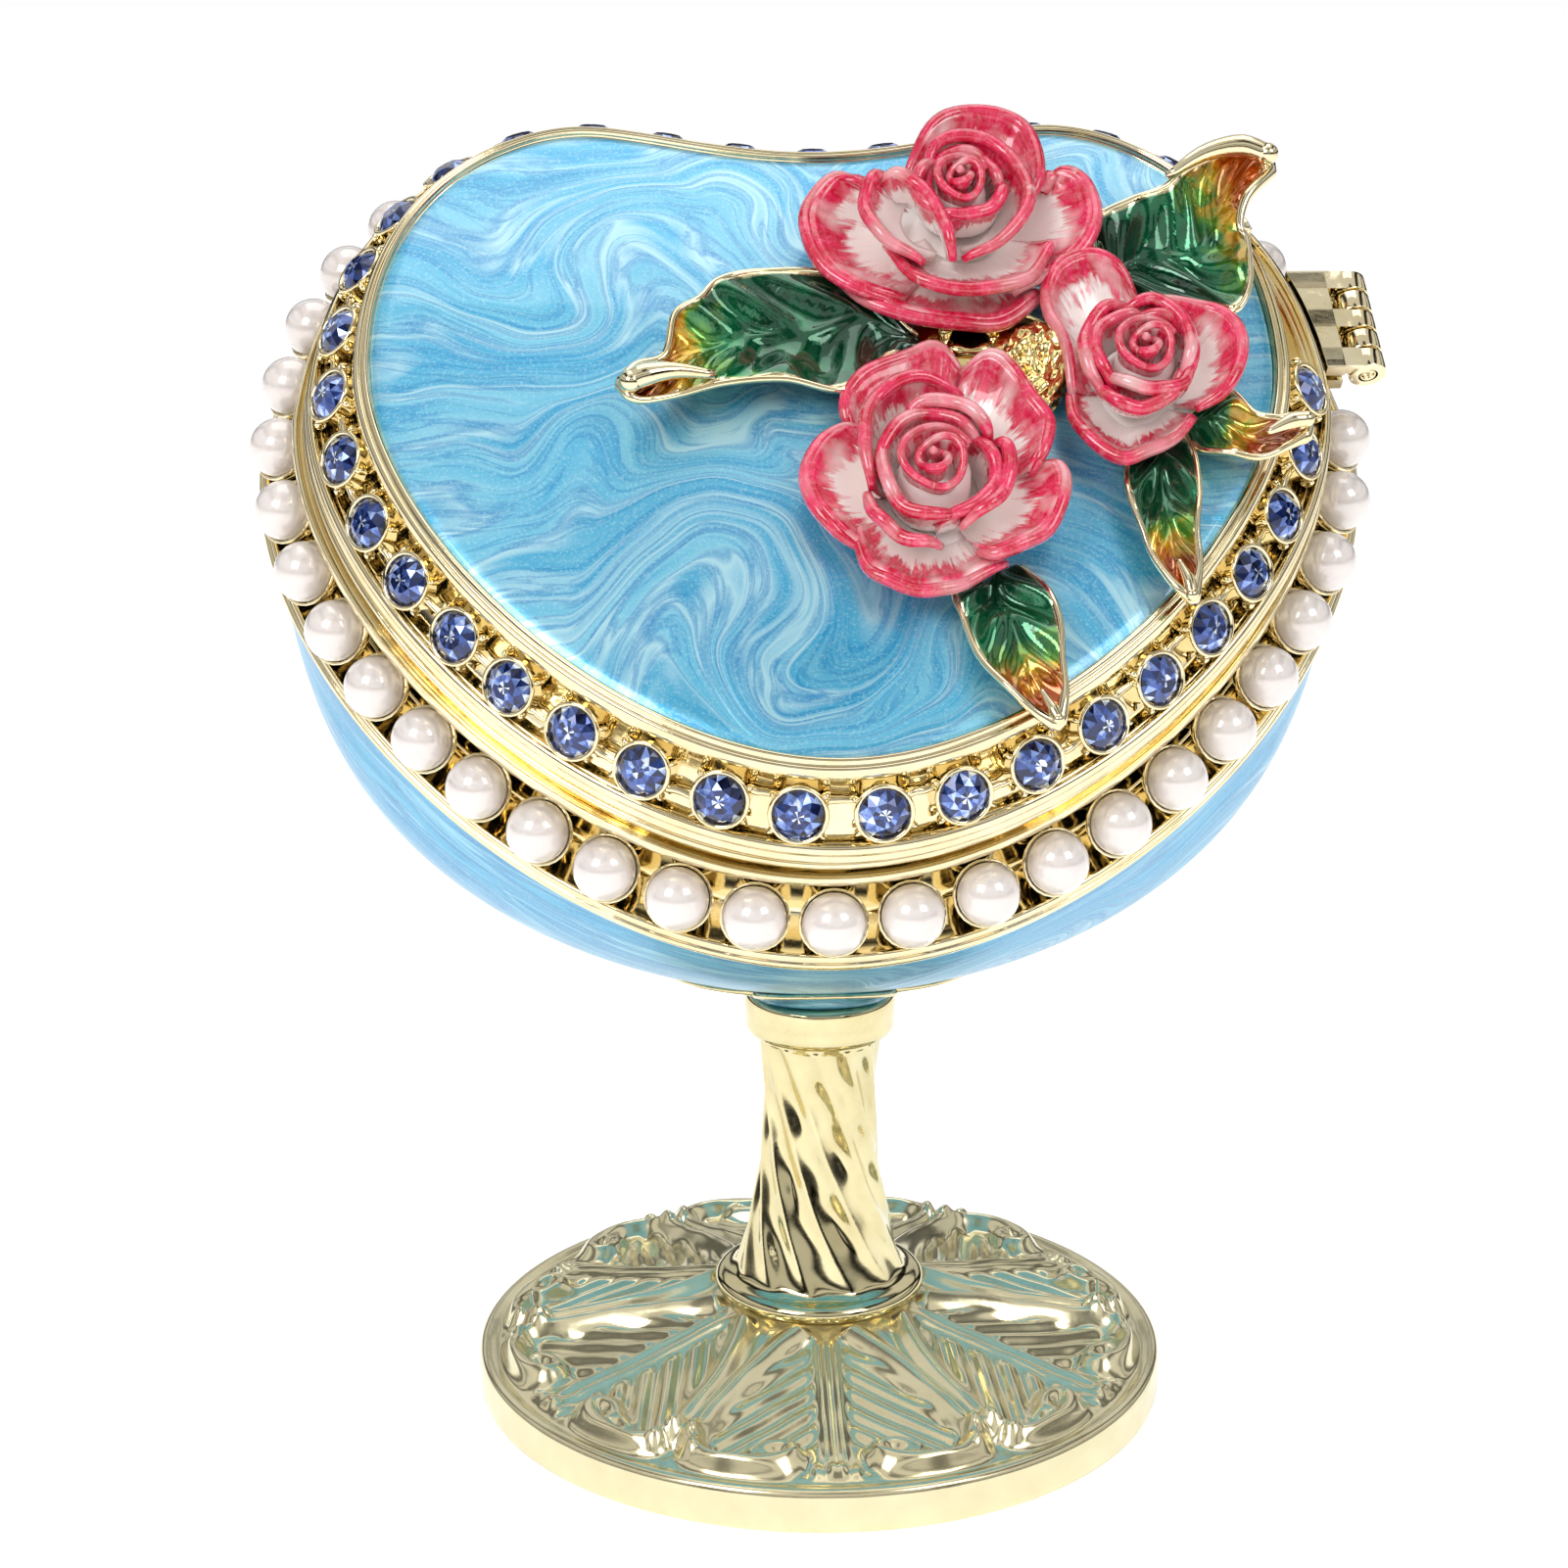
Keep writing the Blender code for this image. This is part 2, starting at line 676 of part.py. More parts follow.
def hinge_leaf(name, low, high, reach, aside, own):
    """A leaf with its own knuckles, notched round the other leaf's and bored for the pin."""
    places = hinge_places()
    barrel = []
    notches = []
    for i, (middle, length) in enumerate(places):
        if i % 2 == own:
            barrel.append(rod(f"{name}_knuckle_{i}", middle, length, HINGE_RADIUS, HINGE_SIDES))
        else:
            side = 2 * (HINGE_RADIUS + 3 * HINGE_GAP)
            size = (side, length + 2 * HINGE_GAP, side)
            notches.append(box_mesh(f"{name}_notch_{i}", on_axis(middle), size, HINGE_LEAN))
    solid = combine(leaf_plate(name, low, high, reach, aside), barrel, "UNION")
    solid.name = name
    bore = rod(name + "_bore", 0, HINGE_LENGTH * 2, PIN_RADIUS + HINGE_GAP, HINGE_SIDES)
    return combine(solid, notches + [bore], "DIFFERENCE")


def make_hinge(gold, bowl_parent, lid_parent, origin):
    top = HINGE_AXIS_HEIGHT + HINGE_RADIUS * 0.97
    low = HINGE_AXIS_HEIGHT - HINGE_RADIUS * 0.97
    lid_reach = LIP_REACH + HINGE_GAP
    bowl_reach = LIP_REACH + 0.3 + HINGE_GAP
    lid_leaf = hinge_leaf("hinge_lid_leaf", top - HINGE_LEAF, top, lid_reach, 0, 0)
    lid_leaf.transform(Matrix.Translation(-origin * MM))
    make_object("hinge_lid_leaf", lid_leaf, gold, lid_parent)
    bowl_leaf = hinge_leaf("hinge_bowl_leaf", low, low + HINGE_LEAF, bowl_reach, BOWL_SHIFT, 1)
    make_object("hinge_bowl_leaf", bowl_leaf, gold, bowl_parent)
    pin = rod("hinge_pin", 0, HINGE_LENGTH, PIN_RADIUS, HINGE_SIDES)
    make_object("hinge_pin", pin, gold, bowl_parent)


# Rose spray


def heart_reach(turn):
    """Distance from the heart's middle to its outline in one direction."""
    aim = Vector((math.cos(turn), math.sin(turn)))
    best = 0
    for at, after in zip(OUTLINE, OUTLINE[1:] + OUTLINE[:1]):
        start = at - HEART_MIDDLE
        edge = after - at
        spread = aim.cross(edge)
        if abs(spread) < 1e-9:
            continue
        share = start.cross(aim) / spread
        if -1e-6 <= share <= 1 + 1e-6:
            best = max(best, start.cross(edge) / spread)
    return best


def panel_height(x, y):
    """Height of the lid over a point of its plane: the enamel's dome, or the ridge round it."""
    reach = Vector((x, y)) - HEART_MIDDLE
    share = reach.length / heart_reach(math.atan2(reach.y, reach.x))
    dome = RIDGE_HEIGHT - 0.25 + PANEL_RISE * max(0, 1 - share**2)
    return max(dome, RIDGE_HEIGHT) if share > RIDGE_SHARE else dome


def rose(name, middle, radii, height, turn):
    """A full rose: an open ring of petals, a tighter ring inside it, and a coiled bud."""
    rings = []
    base = panel_height(*middle) + SPRAY_LIFT
    # Share of the radius, share of the height, number of petals, how deep they wave, and turn
    levels = (
        (0.72, 0.0, 5, 0.06, 0.0),
        (1.0, 0.34, 5, 0.13, 0.0),
        (0.93, 0.5, 5, 0.13, 0.1),
        (0.68, 0.42, 5, 0.08, 0.3),
        (0.6, 0.74, 4, 0.12, 0.9),
        (0.52, 0.78, 4, 0.12, 1.0),
        (0.38, 0.6, 4, 0.06, 1.2),
        (0.24, 0.95, 3, 0.12, 2.2),
        (0.14, 1.0, 3, 0.12, 2.4),
    )
    for share, rise, petals, wave, shift in levels:
        row = []
        for i in range(ROSE_SECTORS):
            angle = TURN * i / ROSE_SECTORS
            swell = abs(math.cos(petals * (angle + turn + shift) / 2)) ** 0.6
            reach = share * (1 - wave + 2 * wave * swell)
            lift = height * rise * (0.92 + 0.16 * swell)
            x = middle[0] + radii[0] * reach * math.cos(angle)
            y = middle[1] + radii[1] * reach * math.sin(angle)
            row.append((x, y, base + lift))
        rings.append(row)
    rings.append([(*middle, base + height * 0.86)])
    return skin(name, rings)


def leaf(name, base, tip, half_width, tip_height, lift):
    """A pointed leaf with a folded midrib, thick enough to cast, that rises to its curled tip."""
    root = Vector(base)
    line = Vector(tip) - root
    side = Vector((-line.y, line.x)).normalized()
    rings = []
    for k in range(LEAF_STATIONS + 1):
        share = k / LEAF_STATIONS
        wide = half_width * (0.35 + 0.65 * math.sin(math.pi * share**0.8)) * (1 - share**4) + 0.25
        middle = root + line * share
        level = panel_height(*middle) + SPRAY_LIFT + lift * math.sin(math.pi * share)
        level += tip_height * share**3
        row = []
        for across, up in ((-1, 0.35), (0, 0), (1, 0.35), (1, -0.35), (0, -1), (-1, -0.35)):
            at = middle + side * (wide * across)
            row.append((at.x, at.y, level + LEAF_THICKNESS * (0.5 + up * 0.5)))
        rings.append(row)
    return skin(name, rings)


def patch():
    """The lump of solder that holds the flowers together and to the lid."""
    base = panel_height(*PATCH_MIDDLE) + SPRAY_LIFT
    rings = []
    for share, height in ((0.8, 0.05), (1.0, 0.7), (0.8, 1.5), (0.35, 1.9)):
        row = []
        for x, y, _ in circle(PATCH_RADIUS * share, 0, 8):
            row.append((PATCH_MIDDLE[0] + x, PATCH_MIDDLE[1] + y, base + height))
        rings.append(row)
    return skin("patch", rings)


def make_spray(enamel, parent, origin):
    parts = [leaf("leaf_" + name, *shape) for name, shape in LEAVES.items()]
    parts += [rose("rose_" + name, *shape) for name, shape in ROSES.items()]
    mesh = combine(patch(), parts, "UNION")
    mesh.transform(Matrix.Translation(-origin * MM))
    return make_object("rose_spray", mesh, enamel, parent)


def empty(name, parent=None):
    obj = bpy.data.objects.new(name, None)
    bpy.context.scene.collection.objects.link(obj)
    obj.empty_display_size = 5 * MM
    obj.parent = parent
    return obj


def main():
    clear_scene()
    gold = material("pale_gold", (0.83, 0.74, 0.48), 0.12, 1.0)
    enamel = material("blue_enamel", (0.13, 0.5, 0.74), 0.15, 0.0)
    pearl = material("pearl", (0.9, 0.86, 0.85), 0.2, 0.0)
    rose_enamel = material("rose_enamel", (0.85, 0.25, 0.35), 0.2, 0.0)

    box = empty("box_frame")
    box.location = BOX_PLACE * MM
    box.rotation_euler = Euler((BOX_TILT, 0, 0))
    hinge_origin = on_axis(0)
    lid_axis = empty("lid_axis", box)
    lid_axis.location = hinge_origin * MM

    make_foot(gold)
    make_stem(gold)
    make_calyx(enamel)
    make_bowl(enamel, box)
    make_pearls(pearl, box)
    make_lid(gold, lid_axis, hinge_origin)
    make_hinge(gold, box, lid_axis, hinge_origin)
    make_spray(rose_enamel, lid_axis, hinge_origin)


main()
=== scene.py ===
"""The jewelled trinket box as the photograph shows it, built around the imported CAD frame.

Shapes are worked out in millimetres with numpy. Pieces of the lid and the bowl are drawn in the box's
own frame: z = 0 is the seam between them, x runs across and y up the heart. The foot and the stem are
drawn in the frame of the ground.
"""

import json
import math

import bpy
import numpy as np
from mathutils import Euler, Matrix, Vector, noise


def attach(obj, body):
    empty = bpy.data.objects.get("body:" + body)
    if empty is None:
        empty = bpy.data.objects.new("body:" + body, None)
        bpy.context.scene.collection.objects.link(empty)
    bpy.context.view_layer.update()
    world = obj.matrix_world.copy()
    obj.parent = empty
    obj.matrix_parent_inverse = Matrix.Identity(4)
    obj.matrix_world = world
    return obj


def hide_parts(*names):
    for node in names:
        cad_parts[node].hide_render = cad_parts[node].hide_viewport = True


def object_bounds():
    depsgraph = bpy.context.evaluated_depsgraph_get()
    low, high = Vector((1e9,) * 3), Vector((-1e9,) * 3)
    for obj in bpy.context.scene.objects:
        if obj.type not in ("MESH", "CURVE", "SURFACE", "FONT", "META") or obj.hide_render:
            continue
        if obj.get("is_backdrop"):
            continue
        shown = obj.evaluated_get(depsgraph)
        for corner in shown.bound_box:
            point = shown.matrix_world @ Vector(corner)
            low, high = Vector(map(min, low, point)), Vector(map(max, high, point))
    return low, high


MM = 0.001
TURN = 2 * math.pi
TILT = math.radians(46)

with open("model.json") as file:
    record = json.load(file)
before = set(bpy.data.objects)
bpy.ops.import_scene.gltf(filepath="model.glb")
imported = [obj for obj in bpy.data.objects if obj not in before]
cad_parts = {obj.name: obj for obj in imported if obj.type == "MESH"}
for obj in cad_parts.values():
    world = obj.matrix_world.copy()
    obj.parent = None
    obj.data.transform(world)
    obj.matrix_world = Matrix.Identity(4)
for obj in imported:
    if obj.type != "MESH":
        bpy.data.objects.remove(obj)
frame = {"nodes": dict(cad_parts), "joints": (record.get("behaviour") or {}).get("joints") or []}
CAD_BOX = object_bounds()

# The heart, as in the part's source
HEART_HALF_WIDTH = 22.0
HEART_WIDEST = 1.9
HEART_BOTTOM = -20.2
HEART_LOBE_SPAN = 11.7
HEART_LOBE_TOP = 15.7
HEART_NOTCH = 14.0
HEART_HANDLES = (10.4, 9.3, 11.0, 3.0, 2.8, 4.4)
HEART_MIDDLE = np.array((0, (HEART_BOTTOM + HEART_LOBE_TOP) / 2))
BORDER_NARROW = 0.3
WALL = 1.3
CHANNEL_REACH = 3.05
CHANNEL_TOP = -1.4
CHANNEL_DEPTH = 3.6
LIP_BOTTOM = -6.1
LOWER_LIP_REACH = 5.0
LIP_STEP = 0.5
ENAMEL_REACH = 5.4
BOWL_SHIFT = -0.2
BOWL_HALF_WIDTH = 28.4
BOWL_HALF_HEIGHT = 22.95
BOWL_DEPTH = 22.4
BOWL_POINT = 1.2
BOWL_ROUND_BY = math.radians(28)
PANEL = 4.1
PANEL_RISE = 1.2
RIDGE_HEIGHT = 4.35
BAND_TOP = (0.6, 3.05)
BAND_FOOT = (2.6, 1.0)
PITCH = 3.76
PEARL_RADIUS = 1.5

# Foot, stem and calyx
FOOT_RADIUS = 17.9
FOOT_EDGE = 2.25
NECK_RADIUS = 5.0
NECK_HEIGHT = 5.0
STEM_BASE = 5.05
STEM_HEIGHT = 16.5
FLUTES = 12

# Hinge
HINGE_MIDDLE = np.array((27.15, 6.3))
HINGE_LEAN = math.radians(5)
HINGE_HEIGHT = 0.15
HINGE_LENGTH = 5.9
HINGE_RADIUS = 0.95
PIN_RADIUS = 0.42

hinge_world = Vector(frame["joints"][0]["pos_m"])
tilt = Matrix.Rotation(TILT, 4, "X")
hinge_local = tilt @ Vector((*HINGE_MIDDLE, HINGE_HEIGHT)) * MM
BOX = Matrix.Translation((0, 0, hinge_world.z - hinge_local.z)) @ tilt
BOX_HEIGHT = (hinge_world.z - hinge_local.z) / MM
rng = np.random.default_rng(7)


# Mesh helpers


def piece(name, mesh, finish, body, place=None, replaces=(), angle=None):
    """Links a mesh as a piece that rides on a CAD body."""
    obj = bpy.data.objects.new(name, mesh)
    bpy.context.scene.collection.objects.link(obj)
    mesh.materials.append(finish)
    if place is not None:
        mesh.transform(place)
    mesh.shade_smooth()
    if angle is not None:
        mesh.set_sharp_from_angle(angle=math.radians(angle))
    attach(obj, body)
    if replaces:
        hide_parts(*replaces)
    return obj


def mesh_of(name, points, faces, **values):
    """A mesh from points in millimetres, with named point attributes."""
    mesh = bpy.data.meshes.new(name)
    mesh.from_pydata((np.asarray(points) * MM).tolist(), [], faces)
    for key, data in values.items():
        layer = mesh.attributes.new(key, "FLOAT", "POINT")
        layer.data.foreach_set("value", np.asarray(data, np.float32).ravel())
    mesh.update()
    return mesh


def grid_faces(rows, cols, closed=True, flip=False, start=0):
    """Quads over a grid of points kept row by row."""
    faces = []
    for i in range(rows - 1):
        for j in range(cols if closed else cols - 1):
            k = (j + 1) % cols
            a = start + i * cols + j
            b = start + i * cols + k
            quad = (a, b, b + cols, a + cols)
            faces.append(quad[::-1] if flip else quad)
    return faces


def loft(name, rings, poles=(None, None), flip=False, **values):
    """A skin over closed rings of equal counts. A pole closes an end with a fan."""
    rings = np.asarray(rings, float)
    rows, cols = rings.shape[:2]
    points = rings.reshape(-1, 3)
    faces = grid_faces(rows, cols, flip=flip)
    extra = []
    for end, pole in enumerate(poles):
        if pole is None:
            continue
        tip = len(points) + len(extra)
        extra.append(pole)
        first = 0 if end == 0 else (rows - 1) * cols
        for j in range(cols):
            k = (j + 1) % cols
            fan = (first + k, first + j, tip)
            faces.append(fan if (end == 0) != flip else fan[::-1])
    if extra:
        points = np.vstack([points, extra])
    for key in values:
        values[key] = np.concatenate([np.ravel(values[key]), np.zeros(len(extra))])
    return mesh_of(name, points, faces, **values)


class Heap:
    """Collects many small shapes into one mesh."""

    def __init__(self):
        self.points = []
        self.faces = []
        self.values = []
        self.others = []
        self.count = 0

    def add(self, points, faces, value=0.0, other=0.0):
        points = np.asarray(points, float).reshape(-1, 3)
        self.points.append(points)
        self.faces += [tuple(self.count + i for i in face) for face in faces]
        self.values.append(np.broadcast_to(value, len(points)))
        self.others.append(np.broadcast_to(other, len(points)))
        self.count += len(points)

    def lathe(self, profile, origin, axes, sides, closed=False):
        """A profile of (radius, height) turned round the third axis, with its ends closed when closed is set."""
        across, up, axis = (np.asarray(v, float) for v in axes)
        turns = TURN * np.arange(sides) / sides
        rows = []
        for radius, height in profile:
            ring = np.outer(np.cos(turns), across) + np.outer(np.sin(turns), up)
            rows.append(origin + ring * radius + axis * height)
        faces = grid_faces(len(rows), sides)
        if closed:
            faces += [tuple(range(sides))[::-1]]
            faces += [tuple(range((len(rows) - 1) * sides, len(rows) * sides))]
        self.add(np.array(rows), faces)

    def ellipsoid(self, origin, axes, sizes, rings=8, sides=12):
        across, up, axis = (np.asarray(v, float) for v in axes)
        rows = []
        for slope in np.linspace(-0.5 * math.pi, 0.5 * math.pi, rings + 1)[1:-1]:
            turns = TURN * np.arange(sides) / sides
            flat = np.outer(np.cos(turns) * sizes[0], across)
            flat = flat + np.outer(np.sin(turns) * sizes[1], up)
            rows.append(origin + flat * math.cos(slope) + axis * (sizes[2] * math.sin(slope)))
        count = len(rows) * sides
        faces = grid_faces(len(rows), sides)
        for j in range(sides):
            k = (j + 1) % sides
            faces.append((k, j, count))
            faces.append((count - sides + j, count - sides + k, count + 1))
        ends = [origin - axis * sizes[2], origin + axis * sizes[2]]
        self.add(np.vstack([np.array(rows).reshape(-1, 3), ends]), faces)

    def tube(self, path, radii, sides=8, other=0.0):
        """A round tube along a path of points, closed at its ends."""
        path = np.asarray(path, float)
        radii = np.broadcast_to(radii, len(path))
        along = np.gradient(path, axis=0)
        along /= np.linalg.norm(along, axis=1)[:, None] + 1e-9
        side = np.cross(along[0], (0.3, 0.2, 1.0))
        rows = []
        for at, way, radius in zip(path, along, radii):
            side = side - way * np.dot(side, way)
            side /= np.linalg.norm(side)
            up = np.cross(way, side)
            turns = TURN * np.arange(sides) / sides
            rows.append(at + radius * (np.outer(np.cos(turns), side) + np.outer(np.sin(turns), up)))
        faces = grid_faces(len(rows), sides)
        faces += [tuple(range(sides))[::-1]]
        faces += [tuple(range((len(rows) - 1) * sides, len(rows) * sides))]
        self.add(np.array(rows), faces, 0.76, other)

    def mesh(self, name, key=None, other_key=None):
        values = {key: np.concatenate(self.values)} if key else {}
        if other_key:
            values[other_key] = np.concatenate(self.others)
        return mesh_of(name, np.vstack(self.points), self.faces, **values)


def smooth_line(points, count):
    """A Catmull-Rom line through the points, at even steps of its knots."""
    points = np.asarray(points, float)
    ends = np.vstack([2 * points[0] - points[1], points, 2 * points[-1] - points[-2]])
    out = []
    for place in np.linspace(0, len(points) - 1 - 1e-6, count):
        i = int(place)
        t = place - i
        a, b, c, d = ends[i : i + 4]
        bend = (2 * a - 5 * b + 4 * c - d) * t + (3 * b - a - 3 * c + d) * t * t
        out.append(0.5 * (2 * b + (c - a) * t + bend * t))
    return np.array(out)


# The heart


def bezier(a, b, c, d, t):
    t = t[:, None]
    s = 1 - t
    return a * s**3 + 3 * b * s * s * t + 3 * c * s * t * t + d * t**3


def heart_outline(steps):
    low_x, side_down, side_up, lobe_out, lobe_in, notch_x = HEART_HANDLES
    bottom = np.array((0, HEART_BOTTOM))
    side = np.array((HEART_HALF_WIDTH, HEART_WIDEST))
    lobe = np.array((HEART_LOBE_SPAN, HEART_LOBE_TOP))
    notch = np.array((0, HEART_NOTCH))
    curves = (
        (bottom, bottom + (low_x, 0), side - (0, side_down), side),
        (side, side + (0, side_up), lobe + (lobe_out, 0), lobe),
        (lobe, lobe - (lobe_in, 0), notch + (notch_x, 0), notch),
    )
    parts = []
    for curve, count in zip(curves, steps):
        parts.append(bezier(*curve, np.arange(count) / count))
    half = np.vstack([*parts, notch])
    return np.vstack([half, half[-2:0:-1] * (-1, 1)])


OUTLINE = heart_outline((54, 54, 30))
COUNT = len(OUTLINE)
ALONG = np.roll(OUTLINE, -1, 0) - np.roll(OUTLINE, 1, 0)
ALONG /= np.linalg.norm(ALONG, axis=1)[:, None]
OUTWARD = np.stack([ALONG[:, 1], -ALONG[:, 0]], 1)
SHARE_UP = np.clip((OUTLINE[:, 1] - HEART_WIDEST) / (HEART_LOBE_TOP - HEART_WIDEST), 0, 1)
BORDER = 1 - BORDER_NARROW * SHARE_UP


def moved_out(reach, more=0.0):
    return OUTLINE + OUTWARD * (reach * BORDER + more)[:, None]


def ring(reach, height, share=1.0, aside=0.0, more=0.0):
    flat = HEART_MIDDLE + (moved_out(reach, more) - HEART_MIDDLE) * share
    return np.column_stack([flat[:, 0] + aside, flat[:, 1], np.broadcast_to(height, COUNT)])


def wander(size, seed, waves=(3, 5, 8, 13, 21, 34)):
    """A slow uneven line round the heart, as a cast and hand-polished rim has."""
    phases = np.random.default_rng(seed).uniform(0, TURN, len(waves))
    turn = TURN * np.arange(COUNT) / COUNT
    total = sum(np.sin(k * turn + phase) / (1 + 0.06 * k) for k, phase in zip(waves, phases))
    return size * total / len(waves)


def walk(reach, more, start):
    """Even places along the offset heart, as (point, outward) pairs."""
    path = moved_out(reach, more)
    steps = np.linalg.norm(np.roll(path, -1, 0) - path, axis=1)
    ends = np.concatenate([[0], np.cumsum(steps)])
    number = round(ends[-1] / PITCH)
    places = []
    for k in range(number):
        at = (k + start) * ends[-1] / number
        i = min(int(np.searchsorted(ends, at, "right")) - 1, COUNT - 1)
        share = (at - ends[i]) / steps[i]
        j = (i + 1) % COUNT
        normal = OUTWARD[i] * (1 - share) + OUTWARD[j] * share
        places.append((path[i] * (1 - share) + path[j] * share, normal / np.linalg.norm(normal)))
    return places


def beside_hinge(at, margin):
    return at[0] > 0 and abs(at[1] - HINGE_MIDDLE[1]) < HINGE_LENGTH / 2 + margin


# Materials


class Nodes:
    """A short way to write a material's nodes."""

    def __init__(self, name, **sockets):
        self.material = bpy.data.materials.new(name)
        self.material.use_nodes = True
        self.tree = self.material.node_tree
        self.shader = self.tree.nodes["Principled BSDF"]
        for socket, value in sockets.items():
            self.shader.inputs[socket.replace("_", " ")].default_value = value

    def add(self, kind, inputs=None, **settings):
        node = self.tree.nodes.new(kind)
        for key, value in settings.items():
            setattr(node, key, value)
        for key, value in (inputs or {}).items():
            self.put(node.inputs[key], value)
        return node

    def put(self, socket, value):
        if isinstance(value, bpy.types.NodeSocket):
            self.tree.links.new(value, socket)
        elif isinstance(value, bpy.types.Node):
            self.tree.links.new(value.outputs[0], socket)
        else:
            socket.default_value = value

    def place(self, box_frame=False):
        """Where a spot is on its piece, in millimetres of the ground's frame or the box's."""
        spot = self.add("ShaderNodeTexCoord").outputs["Object"]
        node = self.add("ShaderNodeMapping", {"Vector": spot, "Scale": (1 / MM,) * 3})
        if box_frame:
            node.inputs["Rotation"].default_value = (-TILT, 0, 0)
            node.inputs["Location"].default_value = BOX.inverted().translation / MM
        return node

    def math(self, operation, a, b=0.0):
        return self.add("ShaderNodeMath", {0: a, 1: b}, operation=operation)

    def vector(self, operation, a, b=(0, 0, 0)):
        return self.add("ShaderNodeVectorMath", {0: a, 1: b}, operation=operation)

    def noise(self, vector, scale, detail=2.0, rough=0.5, distortion=0.0):
        inputs = {"Vector": vector, "Scale": scale, "Detail": detail, "Roughness": rough}
        return self.add("ShaderNodeTexNoise", {**inputs, "Distortion": distortion})

    def ramp(self, value, *stops):
        node = self.add("ShaderNodeValToRGB", {"Fac": value})
        line = node.color_ramp.elements
        while len(line) < len(stops):
            line.new(0.5)
        for element, (at, colour) in zip(line, stops):
            element.position = at
            element.color = (*colour, 1) if len(colour) == 3 else colour
        return node

    def span(self, value, low, high, to_low=0.0, to_high=1.0):
        inputs = {0: value, 1: low, 2: high, 3: to_low, 4: to_high}
        return self.add("ShaderNodeMapRange", inputs)

    def mix(self, share, a, b, blend="MIX"):
        node = self.add("ShaderNodeMix", data_type="RGBA", blend_type=blend)
        self.put(node.inputs["Factor"], share)
        self.put(node.inputs["A"], a)
        self.put(node.inputs["B"], b)
        return node.outputs["Result"]

    def attribute(self, name):
        return self.add("ShaderNodeAttribute", attribute_name=name).outputs["Fac"]

    def bump(self, height, distance, strength=1.0):
        return self.add("ShaderNodeBump", {"Height": height, "Distance": distance, "Strength": strength})

    def use(self, **links):
        for socket, value in links.items():
            self.put(self.shader.inputs[socket.replace("_", " ")], value)
        return self.material


def gold(name, colour=(0.88, 0.78, 0.53), deep=(0.80, 0.66, 0.38), waviness=0.03, gloss=(0.035, 0.12), metal=1.0):
    """Champagne gold plate: polished, with the slow waves of a cast ground under it."""
    n = Nodes(name, Metallic=metal, Roughness=0.07)
    spot = n.place()
    patches = n.noise(spot, 0.35, 3, 0.6)
    fine = n.noise(spot, 5.0, 3, 0.55)
    tint = n.mix(n.span(patches, 0.35, 0.7), (*colour, 1), (*deep, 1))
    tint = n.mix(n.span(fine, 0.35, 0.65, 0, 0.25), tint, (*colour, 1))
    rough = n.span(fine, 0.3, 0.75, *gloss)
    waves = n.noise(spot, 0.6, 1, 0.5)
    ground = n.math("ADD", waves, n.math("MULTIPLY", fine, 0.06))
    return n.use(Base_Color=tint, Roughness=rough, Normal=n.bump(ground, waviness * MM, 1.0))


